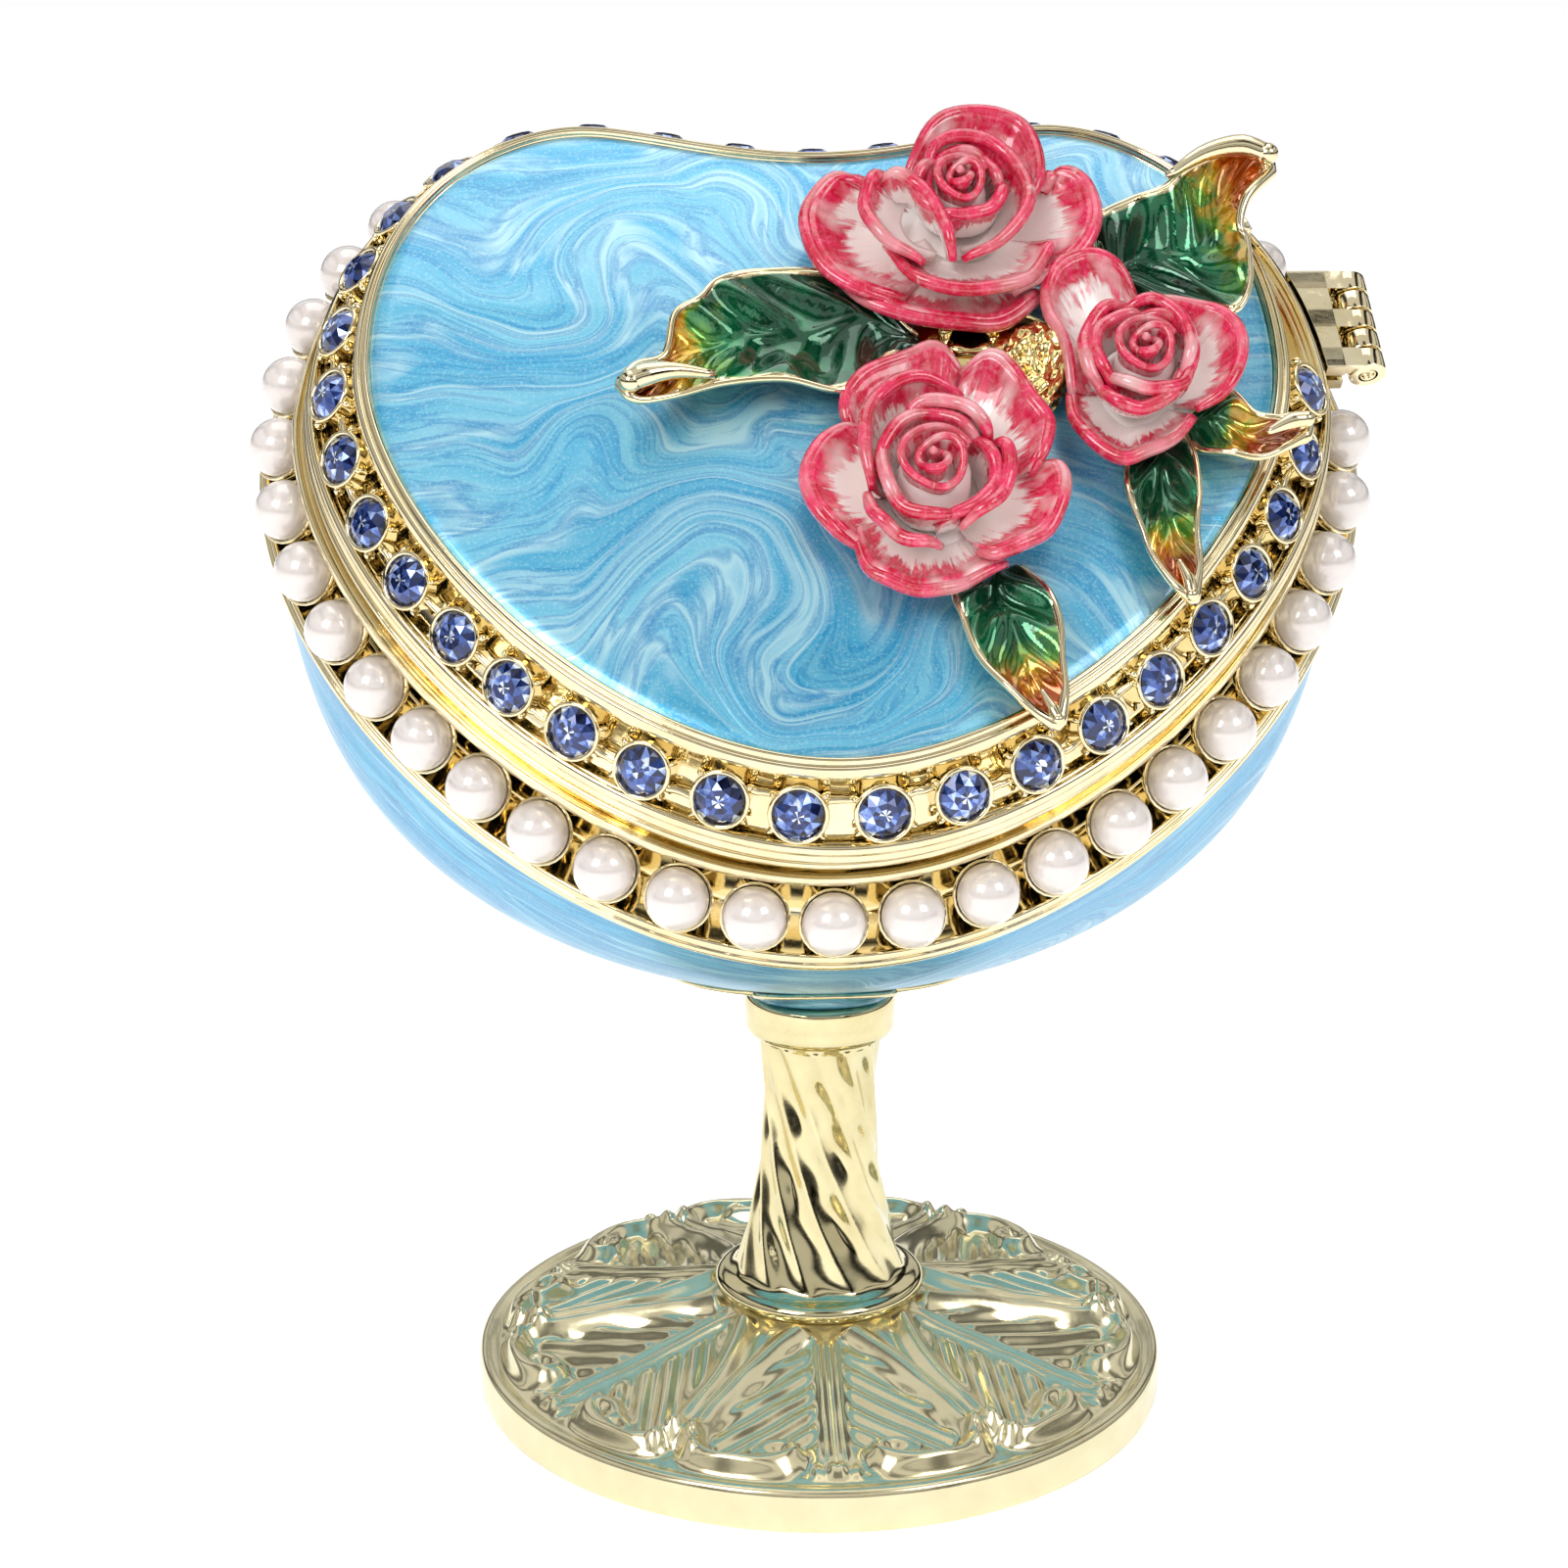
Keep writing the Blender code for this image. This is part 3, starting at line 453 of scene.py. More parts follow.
def swirled_enamel(name, curls, flow, pale, light, middle, dark):
    """Pearly enamel stirred into curls over its metal ground, under a clear glossy coat."""
    n = Nodes(name, Roughness=0.32, Coat_Weight=0.3 if flow else 1.0, Coat_Roughness=0.03, Metallic=0.4)
    spot = n.place(box_frame=True)
    if flow:
        uv = n.add("ShaderNodeUVMap", uv_map="flow")
        spot = n.add("ShaderNodeMapping", {"Vector": uv, "Scale": (100.0, 100.0, 1.0)})
    drift = n.vector("SUBTRACT", n.noise(spot, 0.07, 2, 0.5).outputs["Color"], (0.5, 0.5, 0.5))
    spot = n.vector("ADD", spot, n.add("ShaderNodeVectorMath", {0: drift, "Scale": 6.0}, operation="SCALE"))
    for x, y, radius, twist in curls:
        away = n.vector("SUBTRACT", spot, (x, y, 0))
        far = n.add("ShaderNodeVectorMath", {0: away}, operation="LENGTH").outputs["Value"]
        fade = n.span(far, 0, radius, 1, 0)
        fade = n.math("MULTIPLY", n.math("MULTIPLY", fade, fade), twist)
        inputs = {"Vector": away, "Axis": (0, 0, 1), "Angle": fade}
        turned = n.add("ShaderNodeVectorRotate", inputs, rotation_type="AXIS_ANGLE")
        spot = n.vector("ADD", turned, (x, y, 0))
    combed = n.add("ShaderNodeMapping", {"Vector": spot, "Scale": (0.05, 0.36, 0.05)})
    broad = n.noise(combed, 1.0, 3, 0.5, 0.5)
    lines_at = n.add("ShaderNodeMapping", {"Vector": spot, "Scale": (0.07, 0.85, 0.1)})
    lines = n.noise(lines_at, 1.0, 4, 0.62, 0.9)
    hair_at = n.add("ShaderNodeMapping", {"Vector": spot, "Scale": (0.22, 2.6, 0.2)})
    hair = n.noise(hair_at, 1.0, 3, 0.6, 0.4)
    veins = n.math("ABSOLUTE", n.math("SUBTRACT", lines, 0.5))
    veins = n.span(veins, 0.004, 0.05, 1, 0)
    rings = n.math("ABSOLUTE", n.math("SUBTRACT", broad, 0.47))
    rings = n.span(rings, 0.004, 0.03, 1, 0)
    tone = n.ramp(broad, (0.30, middle), (0.43, light), (0.50, pale), (0.57, middle), (0.72, light))
    tone = n.mix(n.span(lines, 0.5, 0.72, 0, 0.65), tone, (*middle, 1))
    tone = n.mix(n.math("MULTIPLY", veins, 0.6), tone, (*dark, 1))
    tone = n.mix(n.math("MULTIPLY", rings, 0.55), tone, (*dark, 1))
    tone = n.mix(n.span(hair, 0.5, 0.75, 0, 0.4), tone, (*light, 1))
    flakes = n.noise(n.place(), 7.0, 2, 0.7)
    tone = n.mix(n.span(flakes, 0.52, 0.68, 0, 0.45), tone, (*pale, 1))
    rough = n.span(broad, 0.3, 0.7, 0.42, 0.26)
    relief = n.math("ADD", lines, n.math("MULTIPLY", hair, 0.3))
    return n.use(Base_Color=tone, Roughness=rough, Normal=n.bump(relief, 0.05 * MM, 0.6))


def pearl_material():
    n = Nodes("pearl_lustre", Roughness=0.2, Coat_Weight=1.0, Coat_Roughness=0.05, Metallic=0.1)
    n.shader.inputs["Coat IOR"].default_value = 1.7
    n.shader.inputs["Subsurface Weight"].default_value = 0.15
    n.shader.inputs["Subsurface Radius"].default_value = (0.4 * MM, 0.25 * MM, 0.2 * MM)
    cloud = n.noise(n.place(), 0.8, 2, 0.5)
    body = n.mix(cloud, (0.82, 0.74, 0.72, 1), (0.88, 0.82, 0.77, 1))
    return n.use(Base_Color=body, Roughness=n.span(cloud, 0.2, 0.8, 0.14, 0.26))


def stone_material():
    """Foiled sapphire glass: the stone's own blue, painted darker or lighter per facet, from painted shade to a
    painted near-white glint, as the light the cut throws back.
    """
    n = Nodes("sapphire_glass", Roughness=0.03, Metallic=0.45, Coat_Weight=1.0, Coat_Roughness=0.0)
    facet = n.attribute("facet")
    inner = n.noise(n.place(), 1.6, 2, 0.6, 0.8)
    value = n.math("ADD", facet, n.span(inner, 0.3, 0.7, -0.14, 0.14))
    # The facet tone runs from painted shade through the stone's blue to a painted white glint
    stops = ((0.0, (0.002, 0.004, 0.02)), (0.38, (0.012, 0.03, 0.15)), (0.66, (0.06, 0.12, 0.42)))
    tone = n.ramp(value, *stops, (0.84, (0.30, 0.44, 0.90)), (0.95, (0.85, 0.92, 1.0)))
    return n.use(Base_Color=tone)


def petal_material():
    """Cream pearl enamel, brushed crimson toward each petal's edge."""
    n = Nodes("rose_enamel_brushed", Roughness=0.22, Coat_Weight=1.0, Coat_Roughness=0.04)
    n.shader.inputs["Subsurface Weight"].default_value = 0.08
    n.shader.inputs["Subsurface Radius"].default_value = (0.5 * MM, 0.2 * MM, 0.15 * MM)
    spot = n.place()
    rim = n.attribute("rim")
    side = n.attribute("across")
    hair = n.add("ShaderNodeCombineXYZ", {"X": n.math("MULTIPLY", side, 9.0), "Y": rim, "Z": 0.0})
    streak = n.noise(hair, 1.6, 3, 0.6, 0.3)
    blotch = n.noise(spot, 0.55, 3, 0.6, 0.4)
    speck = n.noise(spot, 3.0, 3, 0.65, 0.5)
    reach = n.math("ADD", rim, n.span(streak, 0.3, 0.7, -0.16, 0.16))
    reach = n.math("ADD", reach, n.span(blotch, 0.3, 0.7, -0.16, 0.16))
    paint = n.span(reach, 0.40, 0.56, 0, 1)
    strokes = n.noise(n.add("ShaderNodeMapping", {"Vector": hair, "Scale": (0.16, 0.8, 1.0)}), 1.6, 2, 0.5)
    thin = n.math("MULTIPLY", paint, n.span(strokes, 0.50, 0.70, 1.0, 0.3))
    thin = n.math("MULTIPLY", thin, n.span(speck, 0.5, 0.75, 1.0, 0.8))
    body = n.mix(n.noise(spot, 0.5, 2, 0.5), (0.99, 0.88, 0.83, 1), (0.99, 0.95, 0.92, 1))
    red = n.mix(n.span(streak, 0.40, 0.66), (0.60, 0.0, 0.035, 1), (0.84, 0.035, 0.13, 1))
    tone = n.mix(thin, body, red)
    edge = n.span(rim, 0.965, 0.99, 0, 0.6)
    tone = n.mix(edge, tone, (0.90, 0.70, 0.55, 1))
    relief = n.math("ADD", n.math("MULTIPLY", paint, 0.6), n.math("MULTIPLY", streak, 0.8))
    return n.use(Base_Color=tone, Normal=n.bump(relief, 0.08 * MM, 0.6))


def leaf_material():
    """Translucent green enamel over bright metal, running to amber at the tip, with gilt edges."""
    n = Nodes("leaf_enamel_translucent", Roughness=0.1, Coat_Weight=1.0, Coat_Roughness=0.02)
    spot = n.place()
    along = n.attribute("along")
    edge = n.attribute("rim")
    streak = n.noise(spot, 0.7, 3, 0.6, 0.8)
    place = n.math("ADD", along, n.span(streak, 0.3, 0.7, -0.09, 0.09))
    greens = ((0.0, (0.0, 0.04, 0.018)), (0.45, (0.0, 0.20, 0.07)), (0.55, (0.16, 0.40, 0.03)))
    tone = n.ramp(place, *greens, (0.62, (0.85, 0.48, 0.02)), (0.74, (0.50, 0.09, 0.002)))
    depth = n.noise(spot, 0.55, 2, 0.5, 0.3)
    tone = n.mix(n.span(depth, 0.35, 0.65, 0, 0.6), tone, (0.0, 0.03, 0.015, 1), "MULTIPLY")
    gilt = n.math("MAXIMUM", n.span(edge, 0.90, 0.94), n.span(along, 0.93, 0.96))
    tone = n.mix(gilt, tone, (0.88, 0.76, 0.46, 1))
    metal = n.math("ADD", 0.55, n.math("MULTIPLY", gilt, 0.45))
    return n.use(Base_Color=tone, Metallic=metal, Normal=n.bump(streak, 0.12 * MM, 0.5))


GOLD = gold("gold_plate")
FOOT_GOLD = gold("gold_plate_foot", (0.84, 0.76, 0.50), (0.76, 0.67, 0.41), 0.02, (0.15, 0.18), 0.82)
PALE_GOLD = gold("gold_plate_stem", (0.76, 0.68, 0.41), (0.66, 0.56, 0.30), 0.02, (0.05, 0.14))
ROUGH_GOLD = gold("gold_solder", (0.92, 0.74, 0.33), (0.80, 0.56, 0.18), 0.15)
CURLS = (
    (-3.0, -12.5, 10.5, 8.0),
    (-12.5, 6.5, 9.5, -7.5),
    (-9.5, -4.0, 8.0, 6.5),
    (-2.0, 9.5, 8.5, 7.0),
    (-16.5, -2.0, 6.5, 6.0),
    (5.0, -14.5, 7.5, -7.0),
    (-7.5, 13.0, 6.5, -6.5),
    (13.0, -11.5, 7.5, 6.5),
    (-4.0, 2.0, 6.5, -6.5),
    (15.0, 12.0, 7.5, 6.5),
)
SKY = ((0.44, 0.74, 0.84), (0.20, 0.58, 0.76), (0.055, 0.42, 0.68), (0.004, 0.24, 0.55))
LID_ENAMEL = swirled_enamel("sky_enamel_lid", CURLS, False, *SKY)
BOWL_CURLS = tuple((x, y, 8.0, 2 * t) for x, y, t in (
    (6, 8, 3.6), (19, 11, -3.8), (32, 7, 3.4), (44, 12, -3.6), (57, 8, 3.4), (70, 11, -3.6),
    (83, 8, 3.6), (95, 12, -3.4), (27, 20, 3.6), (62, 20, -3.6), (90, 19, 3.6), (10, 20, -3.4)))
DEEP_SKY = ((0.28, 0.62, 0.78), (0.12, 0.47, 0.70), (0.035, 0.32, 0.58), (0.005, 0.18, 0.45))
BOWL_ENAMEL = swirled_enamel("sky_enamel_bowl", BOWL_CURLS, True, *DEEP_SKY)
DEEP = ((0.22, 0.58, 0.78), (0.10, 0.46, 0.72), (0.03, 0.33, 0.62), (0.005, 0.19, 0.48))
CALYX_ENAMEL = swirled_enamel("deep_enamel_calyx", CURLS[:3], False, *DEEP)


# Lid


def make_lid():
    """The gold casting: lip, band and double ridge outside, and the hollow inside."""
    outside = [
        (2.9, 0.05), (3.08, 0.07), (3.2, 0.16), (3.25, 0.3), (3.24, 0.44), (3.16, 0.55),
        (3.1, 0.64), (3.12, 0.74), (3.17, 0.86), (3.13, 1.02), (3.03, 1.15), (2.9, 1.22),
        (2.79, 1.2), (2.72, 1.08), (2.68, 0.8), (2.62, 0.5), (2.42, 0.46), (2.3, 0.66), (1.9, 1.02),
        (1.45, 1.5), (1.08, 2.0), (0.86, 2.5), (0.77, 3.0), (0.72, 3.5), (0.68, 3.8), (0.62, 4.02),
        (0.52, 4.16), (0.41, 4.2), (0.33, 4.13), (0.27, 4.1), (0.21, 4.18), (0.12, 4.32),
        (0.02, 4.35), (-0.09, 4.28), (-0.16, 4.14), (-0.22, 4.02), (-0.45, 3.98),
    ]
    inner = CHANNEL_REACH
    rings = [
        ring(0, PANEL - WALL + PANEL_RISE * 0.75, 0.5),
        ring(0, PANEL - WALL, more=-0.9),
        ring(inner, 0.3, more=-WALL - 0.1),
        ring(inner, 0.05, more=-WALL),
    ]
    for k, (reach, height) in enumerate(outside):
        sway = wander(0.05 if reach < 0.72 or reach > 2.62 else 0.09, 3 + k // 5)
        calm = 0 if height < 0.1 else 1
        rings.append(ring(reach + sway * calm * 0.6, height + wander(0.05, 40 + k // 4) * calm))
    for share in (0.85, 0.5):
        rings.append(ring(0, PANEL - 0.3 + PANEL_RISE * (1 - share**2), share))
    poles = ((0, HEART_MIDDLE[1], PANEL + PANEL_RISE - WALL), (0, HEART_MIDDLE[1], PANEL + PANEL_RISE - 0.3))
    mesh = loft("lid_casting", rings, poles)
    piece("lid_casting", mesh, GOLD, "lid", BOX, ["lid"])


def make_lid_enamel():
    rings = []
    for share in (1.0, 0.985, 0.96, 0.92, 0.86, 0.78, 0.68, 0.56, 0.43, 0.3, 0.16):
        height = PANEL + PANEL_RISE * (1 - share**2)
        if share == 1.0:
            height -= 0.12
        rings.append(ring(-0.17, height, share))
    mesh = loft("lid_enamel", rings, (None, (0, HEART_MIDDLE[1], PANEL + PANEL_RISE)))
    piece("lid_enamel", mesh, LID_ENAMEL, "lid", BOX)


STONE_RADIUS = 1.17


def brilliant(heap, middle, axes, spin):
    """A round brilliant: table, star facets, kites and girdle facets, each given its own tone, from painted shade to a
    painted glint.
    """
    across, up, axis = axes
    # Random tones per facet: painted reflections of the cut, from dark shade to a near-white glint
    painted_facet_light = np.random.default_rng(int(abs(middle[0] * 91 + middle[1] * 37)) + 5)

    def at(radius, step, height):
        turn = TURN * step / 16 + spin
        return middle + (across * math.cos(turn) + up * math.sin(turn)) * radius + axis * height

    def facet(points, tone):
        heap.add(points, [tuple(range(len(points)))], np.clip(tone, 0, 1))

    table = [at(0.62, 2 * i, 0.86) for i in range(8)]
    knees = [at(0.9, 2 * i + 1, 0.68) for i in range(8)]
    girdle = [at(STONE_RADIUS, i, 0.42) for i in range(16)]
    hearth = middle + axis * 0.86
    for i in range(8):
        j = (i + 1) % 8
        half = (table[i] + table[j]) / 2
        mid = hearth * 0.5 + half * 0.5
        facet([hearth, (hearth + table[i]) / 2, mid], painted_facet_light.choice((0.05, 0.15, 0.97)))
        facet([hearth, mid, (hearth + table[j]) / 2], painted_facet_light.choice((0.1, 0.6, 0.97)))
        facet([(hearth + table[i]) / 2, table[i], half, mid], painted_facet_light.choice((0.3, 0.55, 0.8)))
        facet([mid, half, table[j], (hearth + table[j]) / 2], painted_facet_light.choice((0.08, 0.3, 0.65)))
        facet([table[i], knees[i], table[j]], painted_facet_light.choice((0.25, 0.6, 0.85)))
        facet([table[i], girdle[2 * i], knees[i]], painted_facet_light.choice((0.1, 0.35, 0.7)))
        facet([table[j], knees[i], girdle[(2 * i + 2) % 16]], painted_facet_light.choice((0.2, 0.5, 0.8)))
        facet([knees[i], girdle[2 * i], girdle[2 * i + 1]], painted_facet_light.choice((0.05, 0.4, 0.9)))
        facet([knees[i], girdle[2 * i + 1], girdle[(2 * i + 2) % 16]], painted_facet_light.choice((0.1, 0.5)))


def make_stones():
    settings = Heap()
    stones = Heap()
    drop = BAND_TOP[1] - BAND_FOOT[1]
    run = BAND_FOOT[0] - BAND_TOP[0]
    places = [place for place in walk((BAND_TOP[0] + BAND_FOOT[0]) / 2, 0, 0.5)]
    level = (BAND_TOP[1] + BAND_FOOT[1]) / 2
    cup = [
        (1.22, -1.0), (1.33, -0.3), (1.36, 0.25), (1.41, 0.4), (1.42, 0.5), (1.38, 0.57),
        (1.30, 0.59), (1.22, 0.55), (1.18, 0.46), (1.17, 0.3), (1.0, 0.22), (0.05, 0.2),
    ]
    for k, (at, normal) in enumerate(places):
        if beside_hinge(at, 0.2):
            continue
        axis = np.array((normal[0] * drop, normal[1] * drop, run))
        axis /= np.linalg.norm(axis)
        along = np.array((-normal[1], normal[0], 0.0))
        up = np.cross(axis, along)
        middle = np.array((*at, level)) + along * rng.uniform(-0.07, 0.07) - axis * 0.02
        lean = rng.uniform(-0.05, 0.05, 2)
        axis = axis + along * lean[0] + up * lean[1]
        axis /= np.linalg.norm(axis)
        settings.lathe(cup, middle, (along, up, axis), 28)
        brilliant(stones, middle, (along, up, axis), rng.uniform(0, TURN))
        for turn in (38, 142, 218, 322):
            turn = math.radians(turn + rng.uniform(-9, 9))
            out = along * math.cos(turn) + up * math.sin(turn)
            side = np.cross(axis, out)
            spot = middle + out * 1.46 + axis * 0.18
            sizes = (rng.uniform(0.2, 0.34), rng.uniform(0.13, 0.2), rng.uniform(0.3, 0.42))
            settings.ellipsoid(spot, (out, side, axis), sizes, 6, 9)
        nxt, turned = places[(k + 1) % len(places)]
        if beside_hinge(nxt, 0.2):
            continue
        to = np.array((*nxt, level))
        bridge = []
        for share in np.linspace(0.3, 0.7, 7):
            bow = 0.35 * (2 * share - 1) ** 2
            bridge.append(middle * (1 - share) + to * share + axis * (bow + 0.05) + up * rng.uniform(-0.05, 0.05))
        settings.tube(np.array(bridge) + up * rng.uniform(-0.5, 0.7), np.linspace(0.22, 0.15, 7), 8)
    piece("stone_settings", settings.mesh("stone_settings"), GOLD, "lid", BOX)
    gems = stones.mesh("stones", "facet")
    made = piece("stones", gems, stone_material(), "lid", BOX)
    made.data.shade_flat()


# Bowl


def bowl_ring(slope, inset, start=LOWER_LIP_REACH - LIP_STEP):
    blend = min(slope / BOWL_ROUND_BY, 1)
    blend = blend * blend * (3 - 2 * blend)
    heart = moved_out(start - inset) - HEART_MIDDLE
    narrow = math.cos(slope) ** BOWL_POINT
    turn = np.arctan2(heart[:, 1] / BOWL_HALF_HEIGHT, heart[:, 0] / BOWL_HALF_WIDTH)
    across = (BOWL_HALF_WIDTH - inset) * np.cos(turn)
    upward = (BOWL_HALF_HEIGHT - inset) * np.sin(turn)
    round_form = np.column_stack([across, upward])
    flat = (heart * (1 - blend) + round_form * blend) * narrow + HEART_MIDDLE
    low = LIP_BOTTOM - (BOWL_DEPTH - inset) * math.sin(slope)
    return np.column_stack([flat[:, 0] + BOWL_SHIFT, flat[:, 1], np.full(COUNT, low)])


def make_bowl():
    slopes = np.radians(np.linspace(0, 87, 44))
    rings = [bowl_ring(slope, 0, ENAMEL_REACH) for slope in slopes]
    pole = (BOWL_SHIFT, HEART_MIDDLE[1], LIP_BOTTOM - BOWL_DEPTH)
    mesh = loft("bowl_enamel", rings, (None, pole), flip=True)
    around = np.linalg.norm(np.roll(OUTLINE, -1, 0) - OUTLINE, axis=1)
    around = np.concatenate([[0], np.cumsum(around)[:-1]])
    flow = mesh.uv_layers.new(name="flow")
    loop_columns = {}
    for face in mesh.polygons:
        columns = [v % COUNT for v in face.vertices if v < len(rings) * COUNT]
        beyond = any(COUNT // 2 < c < COUNT - 1 for c in columns)
        for loop in face.loop_indices:
            loop_columns[loop] = COUNT - 1 if beyond else 0
    for loop in mesh.loops:
        row, column = divmod(loop.vertex_index, COUNT)
        if row < len(rings):
            # Counted both ways from the front, so that the seam lies at the back
            turned = loop_columns[loop.index] if column == COUNT // 2 else column
            at = (around[column] - (around[-1] if turned > COUNT // 2 else 0), 30 * math.sin(slopes[row] * 0.9))
        else:
            at = (around[0], 30)
        flow.data[loop.index].uv = (at[0] / 100, at[1] / 100)
    piece("bowl_enamel", mesh, BOWL_ENAMEL, "box", BOX)

    outside = [
        (5.25, -6.1), (5.5, -6.02), (5.7, -5.9), (5.84, -5.72), (5.88, -5.5), (5.83, -5.34),
        (5.74, -5.27), (5.68, -5.3), (5.63, -5.22), (5.62, -5.08), (5.54, -4.97), (5.42, -4.95),
        (5.3, -5.0), (4.6, -5.04), (3.4, -5.0), (3.15, -4.9),
        (3.07, -4.7), (3.05, -4.0), (3.05, -2.4), (3.06, -1.7), (3.14, -1.5), (3.4, -1.42),
        (3.55, -1.36), (3.64, -1.27), (3.67, -1.14), (3.65, -0.98), (3.6, -0.84),
        (3.56, -0.76), (3.52, -0.72), (3.48, -0.8), (3.46, -1.1), (3.42, -1.2), (3.28, -1.2),
        (3.25, -1.1), (3.23, -0.4), (3.2, -0.12), (3.14, -0.05), (3.0, -0.05),
    ]
    gilt = []
    for k, (reach, height) in enumerate(outside):
        calm = 0 if height > -0.08 else 1
        sway = wander(0.06, 70 + k // 5) * calm
        # The step over the pearls is broader at the left front, where the bowl stands out further
        broad = 0.0
        if reach > 3.5 and -1.4 < height < -0.6:
            front_left = np.clip(-OUTLINE[:, 0] / 16, -0.4, 1) * np.clip(1 - SHARE_UP * 2, 0, 1)
            broad = 0.16 * front_left
        flat = moved_out(reach) + OUTWARD * (sway * 0.5 + broad)[:, None]
        tall = height + wander(0.06, 90 + k // 4) * calm
        gilt.append(np.column_stack([flat[:, 0] + BOWL_SHIFT, flat[:, 1], tall]))
    for height in (-0.05, LIP_BOTTOM):
        gilt.append(ring(CHANNEL_REACH, height, aside=BOWL_SHIFT, more=-WALL))
    for degrees in (10, 20, 32, 44, 56, 68, 80):
        slope = math.radians(degrees)
        gilt.append(bowl_ring(slope, WALL * (2 - slope / 1.3)))
    bottom = (BOWL_SHIFT, HEART_MIDDLE[1], LIP_BOTTOM - BOWL_DEPTH + WALL)
    mesh = loft("bowl_casting", gilt, (None, bottom))
    piece("bowl_casting", mesh, GOLD, "box", BOX, ["bowl"])


def make_pearls():
    pearls = Heap()
    cups = Heap()
    level = CHANNEL_TOP - CHANNEL_DEPTH / 2
    cup = []
    for angle in np.radians((180, 160, 140, 122, 108, 98)):
        cup.append((1.56 * math.sin(angle), 1.56 * math.cos(angle)))
    for angle in np.radians((98, 110, 130, 160, 180)):
        cup.append((1.68 * math.sin(angle), 1.68 * math.cos(angle)))
    places = walk(CHANNEL_REACH, 0.1 + PEARL_RADIUS, 0)
    for at, normal in places:
        out = np.array((*normal, 0.0))
        along = np.array((-normal[1], normal[0], 0.0))
        up = np.array((0.0, 0.0, 1.0))
        middle = np.array((at[0] + BOWL_SHIFT, at[1], level))
        if not beside_hinge(at, PEARL_RADIUS * 0.7):
            pearls.ellipsoid(middle, (along, out, up), (1.5, 1.5, 1.5), 24, 32)
            facing = out * 0.6 + up * 0.8
            cups.lathe(cup, middle, (along, np.cross(facing, along), facing), 24)
    names = sorted(name for name in frame["nodes"] if name.startswith("pearl_"))
    piece("pearls", pearls.mesh("pearls"), pearl_material(), "box", BOX, names)
    piece("pearl_cups", cups.mesh("pearl_cups"), GOLD, "box", BOX)


# Foot, stem and calyx

# Half of one leaf's raised outline: aside and along, from the neck to the scroll's end
LEAF_LINE = [
    (1.4, 5.5), (2.8, 6.9), (4.2, 8.6), (5.4, 10.4), (6.4, 12.1), (6.9, 13.5), (6.6, 14.6),
    (5.6, 15.4), (4.2, 15.8), (2.9, 15.7), (2.2, 15.2), (2.3, 14.6), (3.1, 14.4), (4.0, 14.7),
]


def off_line(x, y, line):
    """Distance of each point to a polyline, and how far along the line its nearest point is."""
    best = np.full(x.shape, 1e9)
    along = np.zeros(x.shape)
    for k, ((ax, ay), (bx, by)) in enumerate(zip(line, line[1:])):
        dx, dy = bx - ax, by - ay
        t = np.clip(((x - ax) * dx + (y - ay) * dy) / (dx * dx + dy * dy), 0, 1)
        far = np.hypot(x - ax - t * dx, y - ay - t * dy)
        nearer = far < best
        best = np.where(nearer, far, best)
        along = np.where(nearer, (k + t) / (len(line) - 1), along)
    return best, along


def foot_relief(radius, angle):
    pitch = TURN / 6
    turn = (angle + TURN / 4 + pitch / 2) % pitch - pitch / 2
    x = np.abs(radius * np.sin(turn))
    y = radius * np.cos(turn)
    line = smooth_line(LEAF_LINE, 60)
    far, along = off_line(x, y, line)
    rope = np.exp(-((far / 0.58) ** 2)) * (0.66 + 0.22 * np.sin(np.pi * along))
    groove = -0.08 * np.exp(-(((far - 0.95) / 0.4) ** 2))
    # Inside the outline: veins that run outward from the midrib
    outer = line[:34]
    half = np.interp(y, outer[:, 1], outer[:, 0], left=0.2, right=6.4)
    inside = np.clip((half - 0.75 - x) / 0.35, 0, 1) * np.clip((14.3 - y) / 0.5, 0, 1)
    inside = inside * np.clip((y - 5.9) / 0.8, 0, 1)
    phase = (y - 0.72 * x) / 1.5
    vein = np.cos(TURN * phase)
    fade = np.clip((x - 0.75) / 0.4, 0, 1)
    blade = inside * (0.17 * vein * fade - 0.14 * np.sin(np.pi * np.clip(x / (half + 0.01), 0, 1)))
    rib = 0.26 * np.exp(-(((x - 0.42) / 0.2) ** 2)) * np.clip((16.2 - y) / 1.5, 0, 1)
    total = rope + groove + blade + rib * np.clip((y - 5.4) / 1, 0, 1)
    # Scroll at the leaf's end, and crimped knots and beads by the rim
    for cx, cy, wide, long, tall in (
        (3.9, 15.25, 1.5, 0.42, 0.34),
        (0.0, 16.1, 1.1, 0.5, 0.3),
        (6.9, 13.1, 0.45, 0.9, 0.25),
    ):
        spot = ((x - cx) / wide) ** 2 + ((y - cy) / long) ** 2
        total = total + tall * np.exp(-spot * 1.5)
    total = total + 0.12 * np.sin(x * 8) * np.exp(-(((y - 16.0) / 0.5) ** 2)) * np.clip((1.8 - x) / 0.5, 0, 1)
    between = radius * np.sin(pitch / 2 - np.abs(turn))
    reach = radius * np.cos(pitch / 2 - np.abs(turn))
    for cx, cy, size, tall in ((0.9, 16.0, 0.36, 0.36), (0.0, 14.9, 0.62, 0.5)):
        spot = (between - cx) ** 2 + (reach - cy) ** 2
        total = total + tall * np.clip(1 - spot / size**2 / 1.6, 0, 1) ** 0.6
    return total


